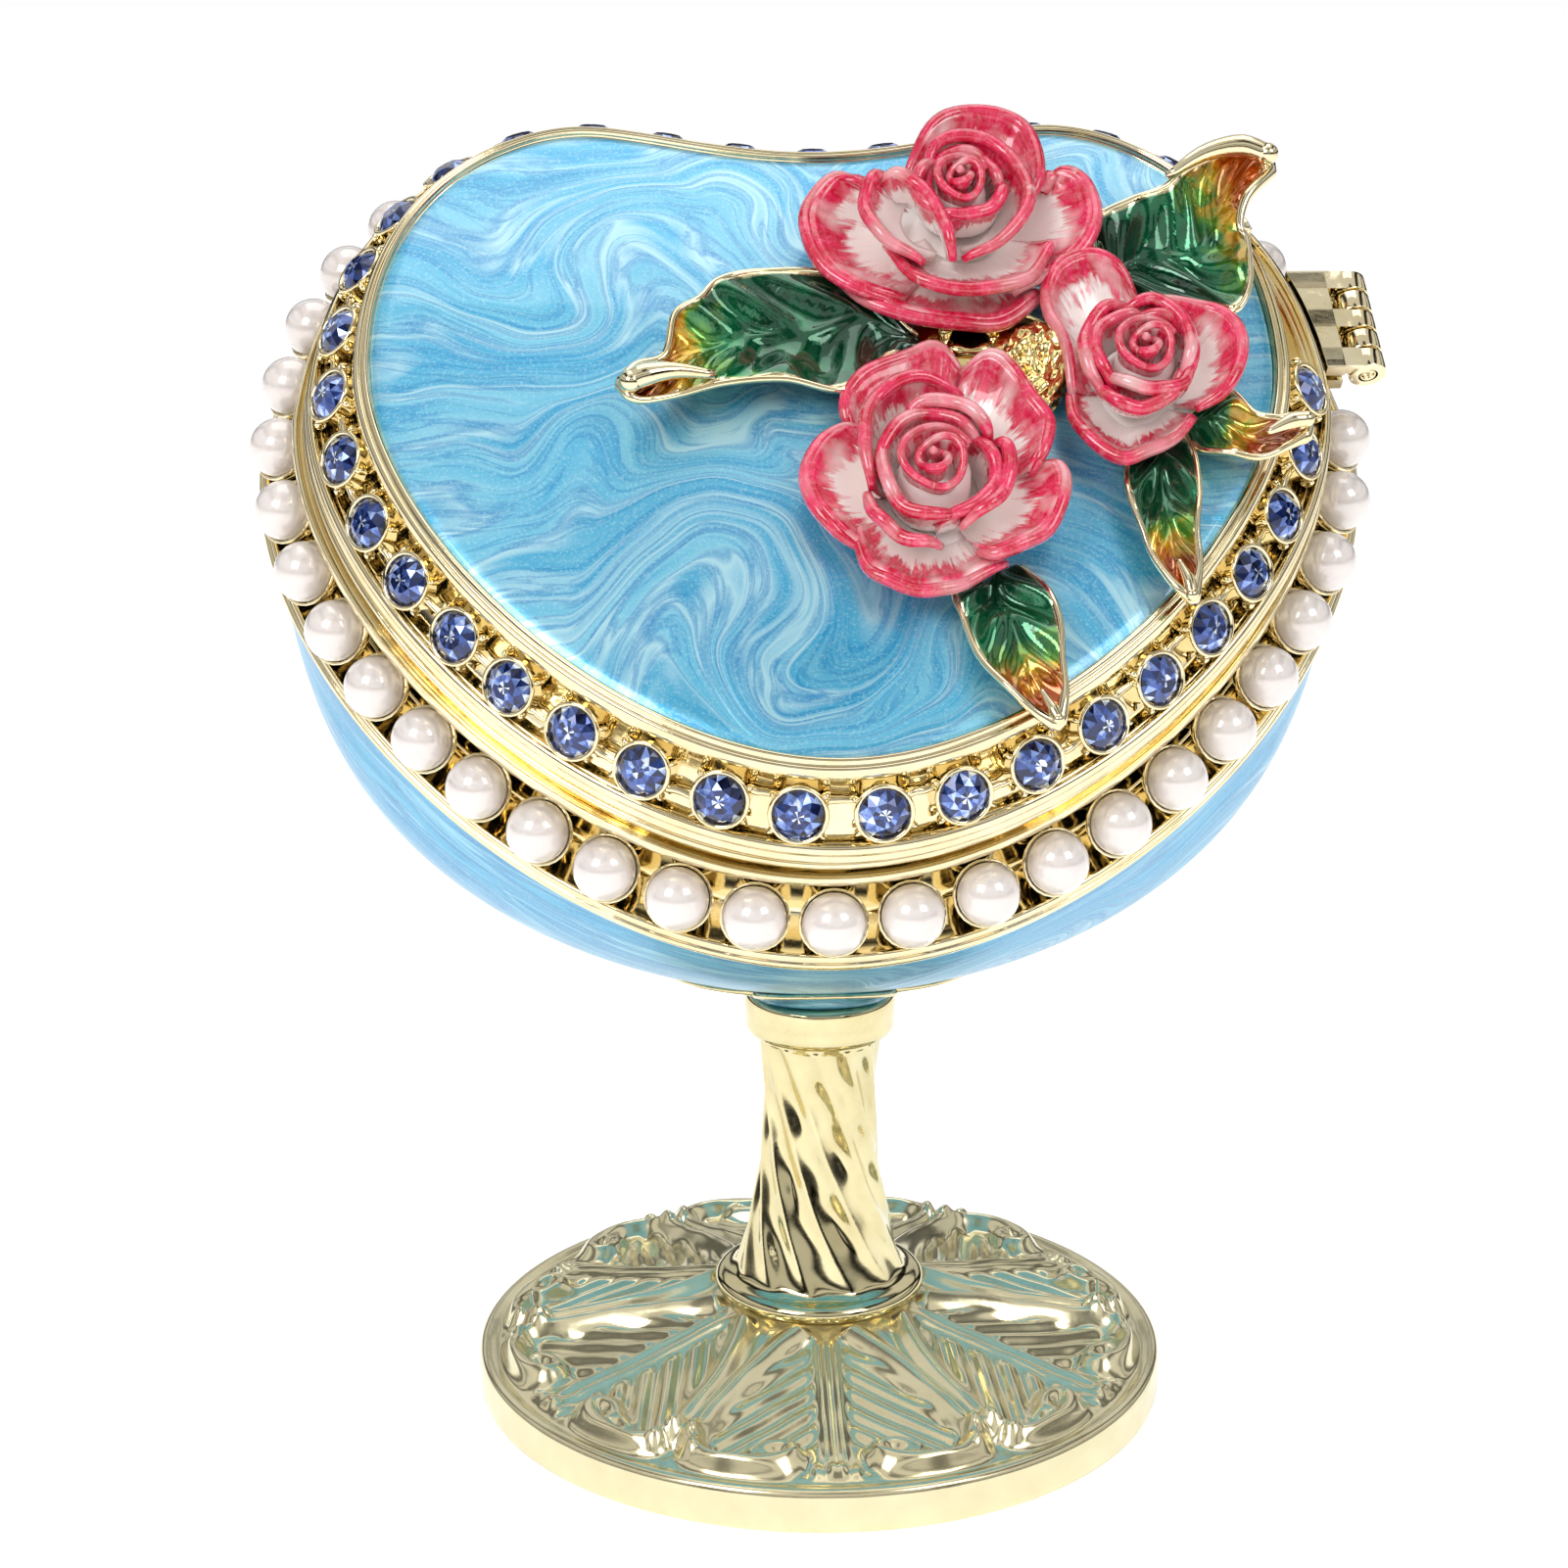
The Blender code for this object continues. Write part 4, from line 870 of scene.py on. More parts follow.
def make_foot():
    sectors = 648
    turns = TURN * np.arange(sectors) / sectors
    cos, sin = np.cos(turns), np.sin(turns)
    rings = []

    def plain(radius, height):
        rings.append(np.column_stack([radius * cos, radius * sin, np.full(sectors, height)]))

    plain(17.4, 0.0)
    plain(17.62, 0.03)
    plain(17.83, 0.16)
    plain(17.9, 0.4)
    plain(17.9, 1.1)
    plain(17.9, 1.9)
    plain(17.86, 2.12)
    plain(17.74, 2.26)
    plain(17.55, 2.33)
    plain(17.3, 2.33)
    for radius in np.linspace(17.1, NECK_RADIUS, 128):
        share = (radius - NECK_RADIUS) / (FOOT_RADIUS * 0.955 - NECK_RADIUS)
        share = min(max(share, 0), 1)
        cone = NECK_HEIGHT + (FOOT_EDGE - NECK_HEIGHT) * share**0.75
        relief = foot_relief(np.full(sectors, radius), turns)
        mask = min(max((16.95 - radius) / 0.5, 0), 1) * min(max((radius - 5.2) / 0.6, 0), 1)
        ledge = 0.1 * math.exp(-(((radius - 16.9) / 0.25) ** 2))
        uneven = 0.03 * np.sin(5 * turns + radius) + 0.02 * np.sin(11 * turns - 2 * radius)
        tall = cone + relief * mask * 0.95 - ledge + uneven * mask
        rings.append(np.column_stack([radius * cos, radius * sin, tall]))
    mesh = loft("foot_casting", rings, ((0, 0, 0), (0, 0, NECK_HEIGHT)))
    piece("foot_casting", mesh, FOOT_GOLD, "box", None, ["foot"])


def make_stem():
    """Base ring, twisted fluted column and collar, as one casting."""
    base = STEM_BASE
    ring_top = base + 1.1
    top = base + STEM_HEIGHT
    under = top - 2.3
    sectors = 240
    turns = TURN * np.arange(sectors) / sectors
    rows = []

    def plain(radius, height):
        rows.append((radius, height, 0.0))

    for slope in np.radians(np.linspace(-80, 80, 11)):
        plain(4.85 + 0.6 * math.cos(slope), base + 0.5 + 0.5 * math.sin(slope))
    plain(4.75, ring_top - 0.08)
    plain(4.62, ring_top + 0.0)
    steps = 90
    for i in range(steps):
        share = i / (steps - 1)
        if share < 0.75:
            radius = 2.9 + 1.5 * (1 - share / 0.75) ** 2
        else:
            radius = 2.9 + 0.2 * ((share - 0.75) / 0.25) ** 2
        height = ring_top + 0.12 + (under - 0.4 - ring_top) * share
        depth = 0.42 * math.sin(math.pi * (0.12 + 0.88 * (1 - share))) ** 0.4
        rows.append((radius, height, depth))
    for radius, height in (
        (3.05, under - 0.18), (3.0, under - 0.05), (3.1, under + 0.03), (3.45, under + 0.1),
        (3.68, under + 0.22), (3.8, under + 0.45), (3.83, under + 0.75), (3.8, under + 0.95),
        (3.84, under + 1.1), (3.85, under + 1.7), (3.84, top - 0.3), (3.78, top - 0.12), (3.6, top),
    ):
        plain(radius, height)
    rings = []
    for radius, height, depth in rows:
        turn = -math.radians(115) * (height - base) / STEM_HEIGHT
        angle = turns - turn
        phase = FLUTES * angle / TURN
        cell = np.floor(phase)
        within = phase - cell
        ragged = 0.8 + 0.25 * np.sin(cell * 2.4 + height * 0.9) + 0.12 * np.sin(cell * 5 + height * 2.1)
        trough = np.sin(np.pi * within) ** 1.3 * ragged
        reach = radius + 0.04 - depth * trough
        rings.append(np.column_stack([reach * np.cos(turns), reach * np.sin(turns), np.full(sectors, height)]))
    mesh = loft("stem_casting", rings, ((0, 0, base), (0, 0, top)))
    piece("stem_casting", mesh, PALE_GOLD, "box", None, ["stem"])


def bowl_underside(x, y):
    middle = tilt @ Vector((BOWL_SHIFT, HEART_MIDDLE[1], LIP_BOTTOM))
    s, c = math.sin(TILT), math.cos(TILT)
    dy = y - middle.y
    wide = 1 / BOWL_HALF_HEIGHT**2
    deep = 1 / BOWL_DEPTH**2
    a = s * s * wide + c * c * deep
    b = 2 * dy * s * c * (wide - deep)
    across = ((x - middle.x) / BOWL_HALF_WIDTH) ** 2
    rest = across + dy * dy * (c * c * wide + s * s * deep) - 1
    inside = -b / (2 * a)
    outside = inside - np.sqrt(b * b - 4 * a * rest) / (2 * a)
    for _ in range(40):
        dz = (inside + outside) / 2
        upward = dy * c + dz * s
        depth = (dy * s - dz * c) / BOWL_DEPTH
        within = across + upward**2 * wide < np.maximum(1 - depth**2, 0) ** BOWL_POINT
        inside = np.where(within, dz, inside)
        outside = np.where(within, outside, dz)
    return BOX_HEIGHT + middle.z + outside


def make_calyx():
    """Four leaves cupping the bowl: enamel outside, with a gilt edge."""
    count = 192
    turns = TURN * np.arange(count) / count
    wave = np.abs(np.cos(4 * (turns + TURN / 4) / 2)) ** 0.7
    reach = 4.6 + 3.4 * wave
    bottom = NECK_HEIGHT + STEM_HEIGHT + 0.1
    cos, sin = np.cos(turns), np.sin(turns)
    gap = 0.15
    edge_top = bowl_underside(reach * cos, reach * sin) - gap
    rings = [np.column_stack([3.5 * cos, 3.5 * sin, np.full(count, bottom)])]
    rings.append(np.column_stack([3.85 * cos, 3.85 * sin, np.full(count, bottom + 0.25)]))
    for share in np.linspace(0.08, 0.97, 12):
        radius = 3.9 + (0.985 * reach - 3.9) * share**1.5
        crease = 0.16 * np.cos(8 * (turns + TURN / 4)) * math.sin(math.pi * share)
        sag = 0.22 * math.sin(math.pi * share)
        low = bottom + (edge_top - 0.3 - bottom) * share**0.8 - sag * 0.3 + crease * 0.4
        rings.append(np.column_stack([radius * cos, radius * sin, low]))
    gilt_from = len(rings) - 1
    for grow, down in ((1.0, 0.26), (1.01, 0.16), (1.0, 0.05), (0.98, 0.0)):
        rings.append(np.column_stack([reach * grow * cos, reach * grow * sin, edge_top - down]))
    for share in (0.9, 0.5):
        x, y = reach * share * cos, reach * share * sin
        rings.append(np.column_stack([x, y, bowl_underside(x, y) - gap]))
    poles = ((0, 0, bottom), (0, 0, float(bowl_underside(0, 0)) - gap))
    mesh = loft("calyx_leaves", rings, poles)
    made = piece("calyx_leaves", mesh, CALYX_ENAMEL, "box", None, ["calyx"])
    mesh.materials.append(PALE_GOLD)
    for face in mesh.polygons:
        row = min(face.vertices) // count
        if row >= gilt_from:
            face.material_index = 1
    return made


# Hinge


def on_axis(distance, aside=0.0, height=0.0):
    x = HINGE_MIDDLE[0] - distance * math.sin(HINGE_LEAN) + aside * math.cos(HINGE_LEAN)
    y = HINGE_MIDDLE[1] + distance * math.cos(HINGE_LEAN) + aside * math.sin(HINGE_LEAN)
    return np.array((x, y, HINGE_HEIGHT + height))


def rim_x(y, reach):
    path = moved_out(reach)
    rising = (path[:, 0] > HEART_LOBE_SPAN) & (np.arange(COUNT) < COUNT // 2)
    return float(np.interp(y, path[rising][:, 1], path[rising][:, 0]))


def make_hinge():
    axes = (on_axis(0, 1) - on_axis(0), np.array((0.0, 0.0, 1.0)), on_axis(1) - on_axis(0))
    step = HINGE_LENGTH / 5
    bore = PIN_RADIUS + 0.08
    length = (step - 0.1) / 2
    knuckle = [
        (bore, -length), (HINGE_RADIUS - 0.1, -length), (HINGE_RADIUS - 0.02, -length + 0.04),
        (HINGE_RADIUS, -length + 0.1), (HINGE_RADIUS, length - 0.1), (HINGE_RADIUS - 0.02, length - 0.04),
        (HINGE_RADIUS - 0.1, length), (bore, length), (bore, 0.0), (bore, -length),
    ]
    leaves = {
        "lid": ("hinge_lid_leaf", HINGE_RADIUS * 0.97 - 0.36, 0.36, 3.35, 0.0),
        "box": ("hinge_bowl_leaf", -HINGE_RADIUS * 0.97 + 0.36, 0.36, 3.65, BOWL_SHIFT),
    }
    for own, (body, (node, level, half, reach, shift)) in enumerate(leaves.items()):
        heap = Heap()
        for i in range(5):
            middle = -HINGE_LENGTH / 2 + step * (i + 0.5)
            if i % 2 != own:
                continue
            heap.lathe(knuckle, on_axis(middle), axes, 40)
            # The tab from this knuckle to its leaf
            rows = []
            for part in np.linspace(0, 1, 6):
                row = []
                for end, up in ((-length, -half), (length, -half), (length, half), (-length, half)):
                    at = on_axis(middle + end)
                    inner = rim_x(at[1], reach) + shift
                    x = at[0] * (1 - part) + inner * part
                    row.append((x, at[1], HINGE_HEIGHT + level + up * (0.8 if part == 0 else 1)))
                rows.append(row)
            faces = grid_faces(len(rows), 4, flip=True)
            faces += [(0, 1, 2, 3), tuple(range(20, 24))[::-1]]
            heap.add(np.array(rows), faces)
        rows = []
        for along in np.linspace(-HINGE_LENGTH / 2 + 0.05, HINGE_LENGTH / 2 - 0.05, 12):
            at = on_axis(along, -HINGE_RADIUS - 0.32)
            inner = rim_x(at[1], reach) + shift - 0.02
            row = [(inner, at[1], -half), (at[0], at[1], -half), (at[0] + 0.04, at[1], -half + 0.06)]
            row += [(at[0] + 0.04, at[1], half - 0.06), (at[0], at[1], half), (inner, at[1], half)]
            rows.append([(x, y, z + HINGE_HEIGHT + level) for x, y, z in row])
        faces = grid_faces(len(rows), 6, flip=True)
        faces += [tuple(range(6)), tuple(range(66, 72))[::-1]]
        heap.add(np.array(rows), faces)
        name = "hinge_knuckles_" + body
        piece(name, heap.mesh(name), GOLD, body, BOX, [node], angle=35)

    pin = Heap()
    end = HINGE_LENGTH / 2
    pin.lathe([(0.3, -end + 0.1), (0.36, -end + 0.02), (PIN_RADIUS, -end + 0.12), (PIN_RADIUS, end - 0.1),
               (0.36, end), (0.02, end)], on_axis(0), axes, 32)
    # The pin's end is split by a cross, so four quarters stand round it
    for k in range(4):
        turn = TURN * (k + 0.5) / 4 + 0.3
        out = axes[0] * math.cos(turn) + axes[1] * math.sin(turn)
        side = np.cross(axes[2], out)
        pin.ellipsoid(on_axis(-end + 0.1) + out * 0.2, (out, side, axes[2]), (0.17, 0.14, 0.1), 6, 10)
    piece("hinge_pin_split", pin.mesh("hinge_pin_split"), GOLD, "box", BOX, ["hinge_pin"])


# Rose spray: petals and leaves are drawn from their edges, as points of the box's frame

# Each petal: edge points, height of its edge, share of the radius where it starts, height there,
# and how far its edge rolls over
ROSES = {
    "rose_top": {
        "heart": (6.7, 8.4),
        "base": 5.3,
        "petals": [
            ([(0.4, 5.6), (2.0, 3.6), (4.1, 2.6), (6.6, 2.1), (8.7, 2.4), (10.7, 4.1)], 6.9, 0.35, 5.4, 0.5),
            ([(9.8, 8.4), (10.7, 10.5), (10.3, 13.2), (8.9, 14.2), (7.0, 14.3), (5.5, 13.3), (4.2, 10.9)],
             7.7, 0.35, 5.6, 0.45),
            ([(2.5, 10.1), (0.8, 10.6), (-0.5, 9.2), (-0.8, 7.5), (-0.1, 5.3), (1.7, 3.8), (3.8, 3.4)],
             7.4, 0.35, 5.6, 0.5),
            ([(9.0, 3.8), (11.2, 4.9), (12.7, 6.4), (13.3, 8.1), (12.9, 10.0), (11.8, 10.8), (11.0, 9.9)],
             7.6, 0.35, 5.6, 0.5),
            ([(3.0, 6.3), (4.5, 3.9), (7.3, 3.2), (9.7, 4.0), (11.1, 6.4)], 8.1, 0.45, 6.2, 0.3),
            ([(3.1, 9.7), (2.4, 9.2), (2.0, 7.4), (2.9, 5.6), (4.7, 4.7)], 8.9, 0.6, 6.8, 0.25),
            ([(6.1, 4.7), (5.7, 6.6), (4.9, 8.4), (3.8, 9.3), (2.8, 9.4)], 9.0, 0.72, 7.0, 0.2),
            ([(5.1, 8.1), (5.3, 10.8), (6.5, 11.7), (8.4, 11.4), (9.7, 9.6), (9.8, 7.5), (8.3, 5.5), (6.6, 4.9)],
             8.9, 0.5, 6.6, 0.3),
        ],
        "bud": ((6.7, 8.9), 1.6, 9.4),
    },
    "rose_front": {
        "heart": (4.6, -6.6),
        "base": 5.5,
        "petals": [
            ([(6.4, -0.6), (5.2, 0.7), (3.8, 0.3), (2.0, -0.6), (1.0, -1.7), (0.7, -2.9), (1.1, -4.3)],
             7.0, 0.35, 5.6, 0.35),
            ([(1.4, -4.0), (0.5, -4.0), (-0.5, -4.8), (-1.3, -6.7), (-0.9, -8.4), (0.0, -9.6), (1.0, -10.2)],
             7.4, 0.35, 5.6, 0.55),
            ([(0.9, -9.4), (1.4, -11.5), (2.4, -12.3), (3.8, -12.9), (5.2, -12.7), (6.4, -12.0), (7.8, -11.2)],
             7.2, 0.35, 5.6, 0.5),
            ([(6.5, -10.9), (7.3, -11.3), (8.9, -10.6), (9.9, -9.7), (10.6, -7.9), (10.5, -6.6), (9.8, -6.1)],
             7.9, 0.4, 5.8, 0.55),
            ([(9.2, -6.7), (9.8, -5.7), (10.1, -4.1), (9.4, -2.8), (8.6, -1.2), (7.6, -0.4), (6.3, -0.9)],
             8.0, 0.4, 5.8, 0.5),
            ([(6.1, -2.9), (4.3, -2.3), (2.6, -2.9), (1.6, -4.2), (1.4, -6.2), (1.7, -8.1)], 8.9, 0.62, 6.4, 0.35),
            ([(1.4, -8.1), (1.6, -9.4), (2.4, -10.4), (3.5, -11.1), (4.7, -11.0)], 8.6, 0.62, 6.4, 0.35),
            ([(5.7, -10.1), (7.2, -9.2), (7.9, -7.9), (8.0, -6.4), (7.4, -5.6)], 8.9, 0.62, 6.4, 0.3),
            ([(7.2, -5.7), (6.9, -5.0), (5.8, -4.0), (4.2, -3.8), (3.4, -4.4)], 9.1, 0.66, 6.8, 0.25),
        ],
        "bud": ((4.6, -7.3), 2.15, 9.5),
    },
    "rose_right": {
        "heart": (14.8, -0.7),
        "base": 5.1,
        "petals": [
            ([(11.5, -1.9), (11.3, 0.7), (10.7, 2.4), (10.7, 4.0), (11.4, 5.3), (12.8, 5.9), (14.1, 5.3), (15.0, 3.8)],
             7.4, 0.4, 5.5, 0.5),
            ([(15.2, 3.4), (17.3, 2.9), (18.7, 2.4), (19.6, 1.1), (19.5, -0.6), (18.6, -2.2), (17.3, -2.8)],
             7.6, 0.4, 5.5, 0.5),
            ([(11.4, -1.7), (11.5, -3.4), (12.3, -4.8), (13.6, -5.8), (14.8, -5.3), (16.2, -4.4), (17.2, -3.2)],
             7.1, 0.4, 5.4, 0.4),
            ([(14.4, 2.2), (13.1, 1.8), (12.1, 0.2), (12.1, -1.5), (12.8, -2.7)], 8.5, 0.62, 6.2, 0.3),
            ([(13.8, 1.6), (15.5, 2.2), (16.7, 1.1), (17.0, -0.5), (16.5, -2.1)], 8.7, 0.62, 6.3, 0.3),
            ([(12.7, -2.2), (13.2, -3.5), (14.5, -3.8), (15.9, -3.1), (16.6, -1.3)], 8.5, 0.62, 6.2, 0.3),
        ],
        "bud": ((14.9, -0.8), 1.85, 9.2),
    },
}


def petal(heap, heart, edge, top, start, low, roll, seed):
    """One cast petal: a thick sheet from its root to its rolled edge."""
    cols = 30
    rows = 16
    rim = smooth_line(edge, cols)
    centre = np.array(heart)
    side = np.linspace(-1, 1, cols)
    phase = np.random.default_rng(seed).uniform(0, TURN, 3)
    ruffle = 0.10 * np.sin(side * 5 + phase[0]) + 0.07 * np.sin(side * 9 + phase[1])
    upper = []
    share = np.linspace(0, 1, rows)
    for t in share:
        spread = start + (1 - start) * t ** 0.85
        flat = centre + (rim - centre) * spread
        rise = low + (top - low) * (t**1.5 * 0.7 + 0.3 * t)
        # The edge rolls outward and down over its last fifth
        over = max(t - 0.8, 0) / 0.2
        lift = rise + roll * 0.35 * math.sin(math.pi * min(over, 1)) - roll * 0.55 * over**2
        sink = (top - low) * 0.34 * np.abs(side) ** 5 * t
        upper.append(np.column_stack([flat, lift - sink + ruffle * t]))
    upper = np.array(upper)
    normal = np.cross(np.gradient(upper, axis=1), np.gradient(upper, axis=0))
    normal /= np.linalg.norm(normal, axis=2)[..., None] + 1e-9
    normal *= np.sign(normal[rows // 3, cols // 2, 2] + 1e-9)
    thick = 0.34 * (1 - 0.2 * share)[:, None, None]
    lower = upper - normal * thick
    points = np.vstack([upper.reshape(-1, 3), lower.reshape(-1, 3)])
    faces = grid_faces(rows, cols, closed=False)
    faces += grid_faces(rows, cols, closed=False, flip=True, start=rows * cols)
    last = (rows - 1) * cols
    shift = rows * cols
    for j in range(cols - 1):
        faces.append((last + j, last + j + 1, shift + last + j + 1, shift + last + j))
        faces.append((j + 1, j, shift + j, shift + j + 1))
    for i in range(rows - 1):
        a, b = i * cols, (i + 1) * cols
        faces.append((a, b, shift + b, shift + a))
        a, b = a + cols - 1, b + cols - 1
        faces.append((b, a, shift + a, shift + b))
    tone = np.repeat(share**1.3, cols).reshape(rows, cols)
    tone = np.maximum(tone, (np.abs(side) ** 7 * 0.8)[None, :] * share[:, None] ** 0.5)
    across = np.tile(side + 3 * seed, rows)
    # The rolled rim, thickest in its middle
    swell = 0.36 - 0.16 * np.abs(side) ** 3
    heap.tube(upper[-1] - (0, 0, 0.16), swell, 10, np.repeat(side * 0.3 + 3 * seed, 10))
    heap.add(points, faces, np.concatenate([tone.ravel(), tone.ravel() * 0.98]), np.tile(across, 2))


def bud(heap, centre, radius, top, low):
    """The coiled heart: a strip wound inward and upward."""
    inner_petals(heap, centre, radius * 0.86, top, centre[0] * 0.7)
    radius = radius * 0.86
    cols = 110
    rows = 9
    turn = np.linspace(0, 2.3 * TURN, cols)
    wind = radius * (1 - 0.86 * (turn / turn[-1]) ** 0.9)
    wave = 1 + 0.07 * np.sin(turn * 1.3) + 0.05 * np.sin(turn * 3.1)
    upper = []
    for t in np.linspace(0, 1, rows):
        lean = wind * wave * (0.86 + 0.2 * t)
        if t > 0.85:
            lean = lean + 0.1
        x = centre[0] + lean * np.cos(turn + 0.6)
        y = centre[1] + lean * np.sin(turn + 0.6)
        rise = low + (top - low) * t - 0.3 * np.cos(turn * 1.45) * t - 0.5 * (1 - turn / turn[-1]) * t
        upper.append(np.column_stack([x, y, rise]))
    upper = np.array(upper)
    away = upper.copy()
    away[..., :2] -= centre
    away[..., 2] = 0
    away /= np.linalg.norm(away, axis=2)[..., None] + 1e-9
    inner = upper - away * 0.3
    points = np.vstack([upper.reshape(-1, 3), inner.reshape(-1, 3)])
    shift = rows * cols
    faces = grid_faces(rows, cols, closed=False)
    faces += grid_faces(rows, cols, closed=False, flip=True, start=shift)
    last = (rows - 1) * cols
    for j in range(cols - 1):
        faces.append((last + j, last + j + 1, shift + last + j + 1, shift + last + j))
        faces.append((j + 1, j, shift + j, shift + j + 1))
    for i in range(rows - 1):
        a, b = i * cols, (i + 1) * cols
        faces.append((a, b, shift + b, shift + a))
        a, b = a + cols - 1, b + cols - 1
        faces.append((b, a, shift + a, shift + b))
    tone = np.repeat(np.linspace(0.55, 0.99, rows), cols)
    heap.add(points, faces, np.concatenate([tone, tone]), np.tile(turn * 0.8, 2 * rows))
    heap.tube(upper[-1] - away[-1] * 0.14, 0.2, 8, np.repeat(turn * 0.2, 8))
    # The floor between the coil's turns
    axes = np.eye(3)
    spot = np.array((*centre, low + (top - low) * 0.45))
    heap.lathe([(radius * 0.95, -1.2), (radius * 0.9, 0.0), (radius * 0.4, 0.35), (0.05, 0.4)], spot, axes, 24)


def inner_petals(heap, heart, radius, top, seed):
    """Small upright petals that wrap the coiled heart."""
    for k, (wide, drop) in enumerate(((1.38, 0.5), (1.44, 0.75), (1.5, 0.6))):
        middle = 0.6 + k * 2.15 + seed
        edge = []
        for turn in np.linspace(-1.3, 1.3, 9):
            reach = radius * wide * (1 + 0.06 * math.sin(3 * turn + k))
            edge.append((heart[0] + reach * math.cos(middle + turn), heart[1] + reach * math.sin(middle + turn)))
        petal(heap, heart, edge, top - drop, 0.74, top - drop - 2.3, 0.3, 60 + 5 * k + int(seed * 3))


def cup_under(heap, heart, petals, base):
    """The rose's underside: a shallow cup that carries the petals."""
    rows = []
    edges = np.vstack([np.array(edge) for edge, *_ in petals[:5]])
    reach = np.abs(edges - heart).max(0)
    turns = TURN * np.arange(32) / 32
    for share, height in ((0.3, 0.0), (0.4, 0.1), (0.5, 0.4), (0.55, 0.8), (0.4, 1.0), (0.2, 1.2)):
        x = heart[0] + reach[0] * share * np.cos(turns)
        y = heart[1] + reach[1] * share * np.sin(turns)
        rows.append(np.column_stack([x, y, np.full(32, base + height)]))
    faces = grid_faces(len(rows), 32)
    faces += [tuple(range(32))[::-1], tuple(range(160, 192))]
    heap.add(np.array(rows), faces, 0.2)


LEAVES = {
    "leaf_left": (
        [(4.4, 2.0), (0.9, 5.2), (-2.9, 5.3), (-5.0, 4.5), (-6.0, 3.1), (-7.2, 2.0), (-7.7, -0.3), (-9.0, -0.9), (-9.7, -1.8)],
        [(4.7, 0.8), (2.8, 0.4), (0.8, -1.8), (-2.1, -1.4), (-4.9, -1.7), (-6.8, -2.3), (-8.4, -2.8), (-9.3, -2.8), (-9.7, -2.1)],
        5.6, 7.6, 1.0,
    ),
    "leaf_upper": (
        [(13.2, 6.6), (13.5, 8.7), (15.2, 9.6), (16.8, 9.9), (17.8, 10.5), (19.7, 11.4), (21.2, 11.6), (21.9, 10.8)],
        [(14.8, 4.1), (16.6, 3.6), (18.6, 3.2), (19.6, 2.5), (20.4, 3.9), (20.5, 6.4), (20.2, 7.2), (20.6, 8.6), (21.9, 10.2)],
        5.4, 7.6, 0.9,
    ),
    "leaf_side": (
        [(17.2, -2.2), (18.4, -1.3), (19.3, -1.4), (20.1, -2.9), (21.1, -3.3), (22.0, -3.2), (22.5, -3.8)],
        [(16.9, -3.4), (17.6, -4.5), (18.7, -5.1), (20.1, -5.4), (21.5, -4.8), (22.3, -4.4)],
        5.0, 6.4, 0.5,
    ),
    "leaf_lower": (
        [(16.9, -3.4), (17.2, -5.0), (17.1, -7.3), (16.8, -9.2), (16.8, -11.0), (16.4, -12.7)],
        [(14.8, -4.2), (14.0, -5.2), (13.8, -7.2), (14.3, -9.2), (14.7, -10.6), (15.6, -12.2), (16.3, -12.7)],
        5.1, 5.7, 0.6,
    ),
    "leaf_bottom": (
        [(8.6, -10.6), (9.6, -12.1), (10.1, -13.9), (10.1, -16.0), (10.1, -17.6), (9.8, -19.0)],
        [(6.4, -10.9), (5.4, -12.3), (5.7, -13.6), (6.3, -15.7), (7.3, -17.3), (8.6, -18.7), (9.6, -19.2)],
        5.0, 5.6, 0.6,
    ),
}


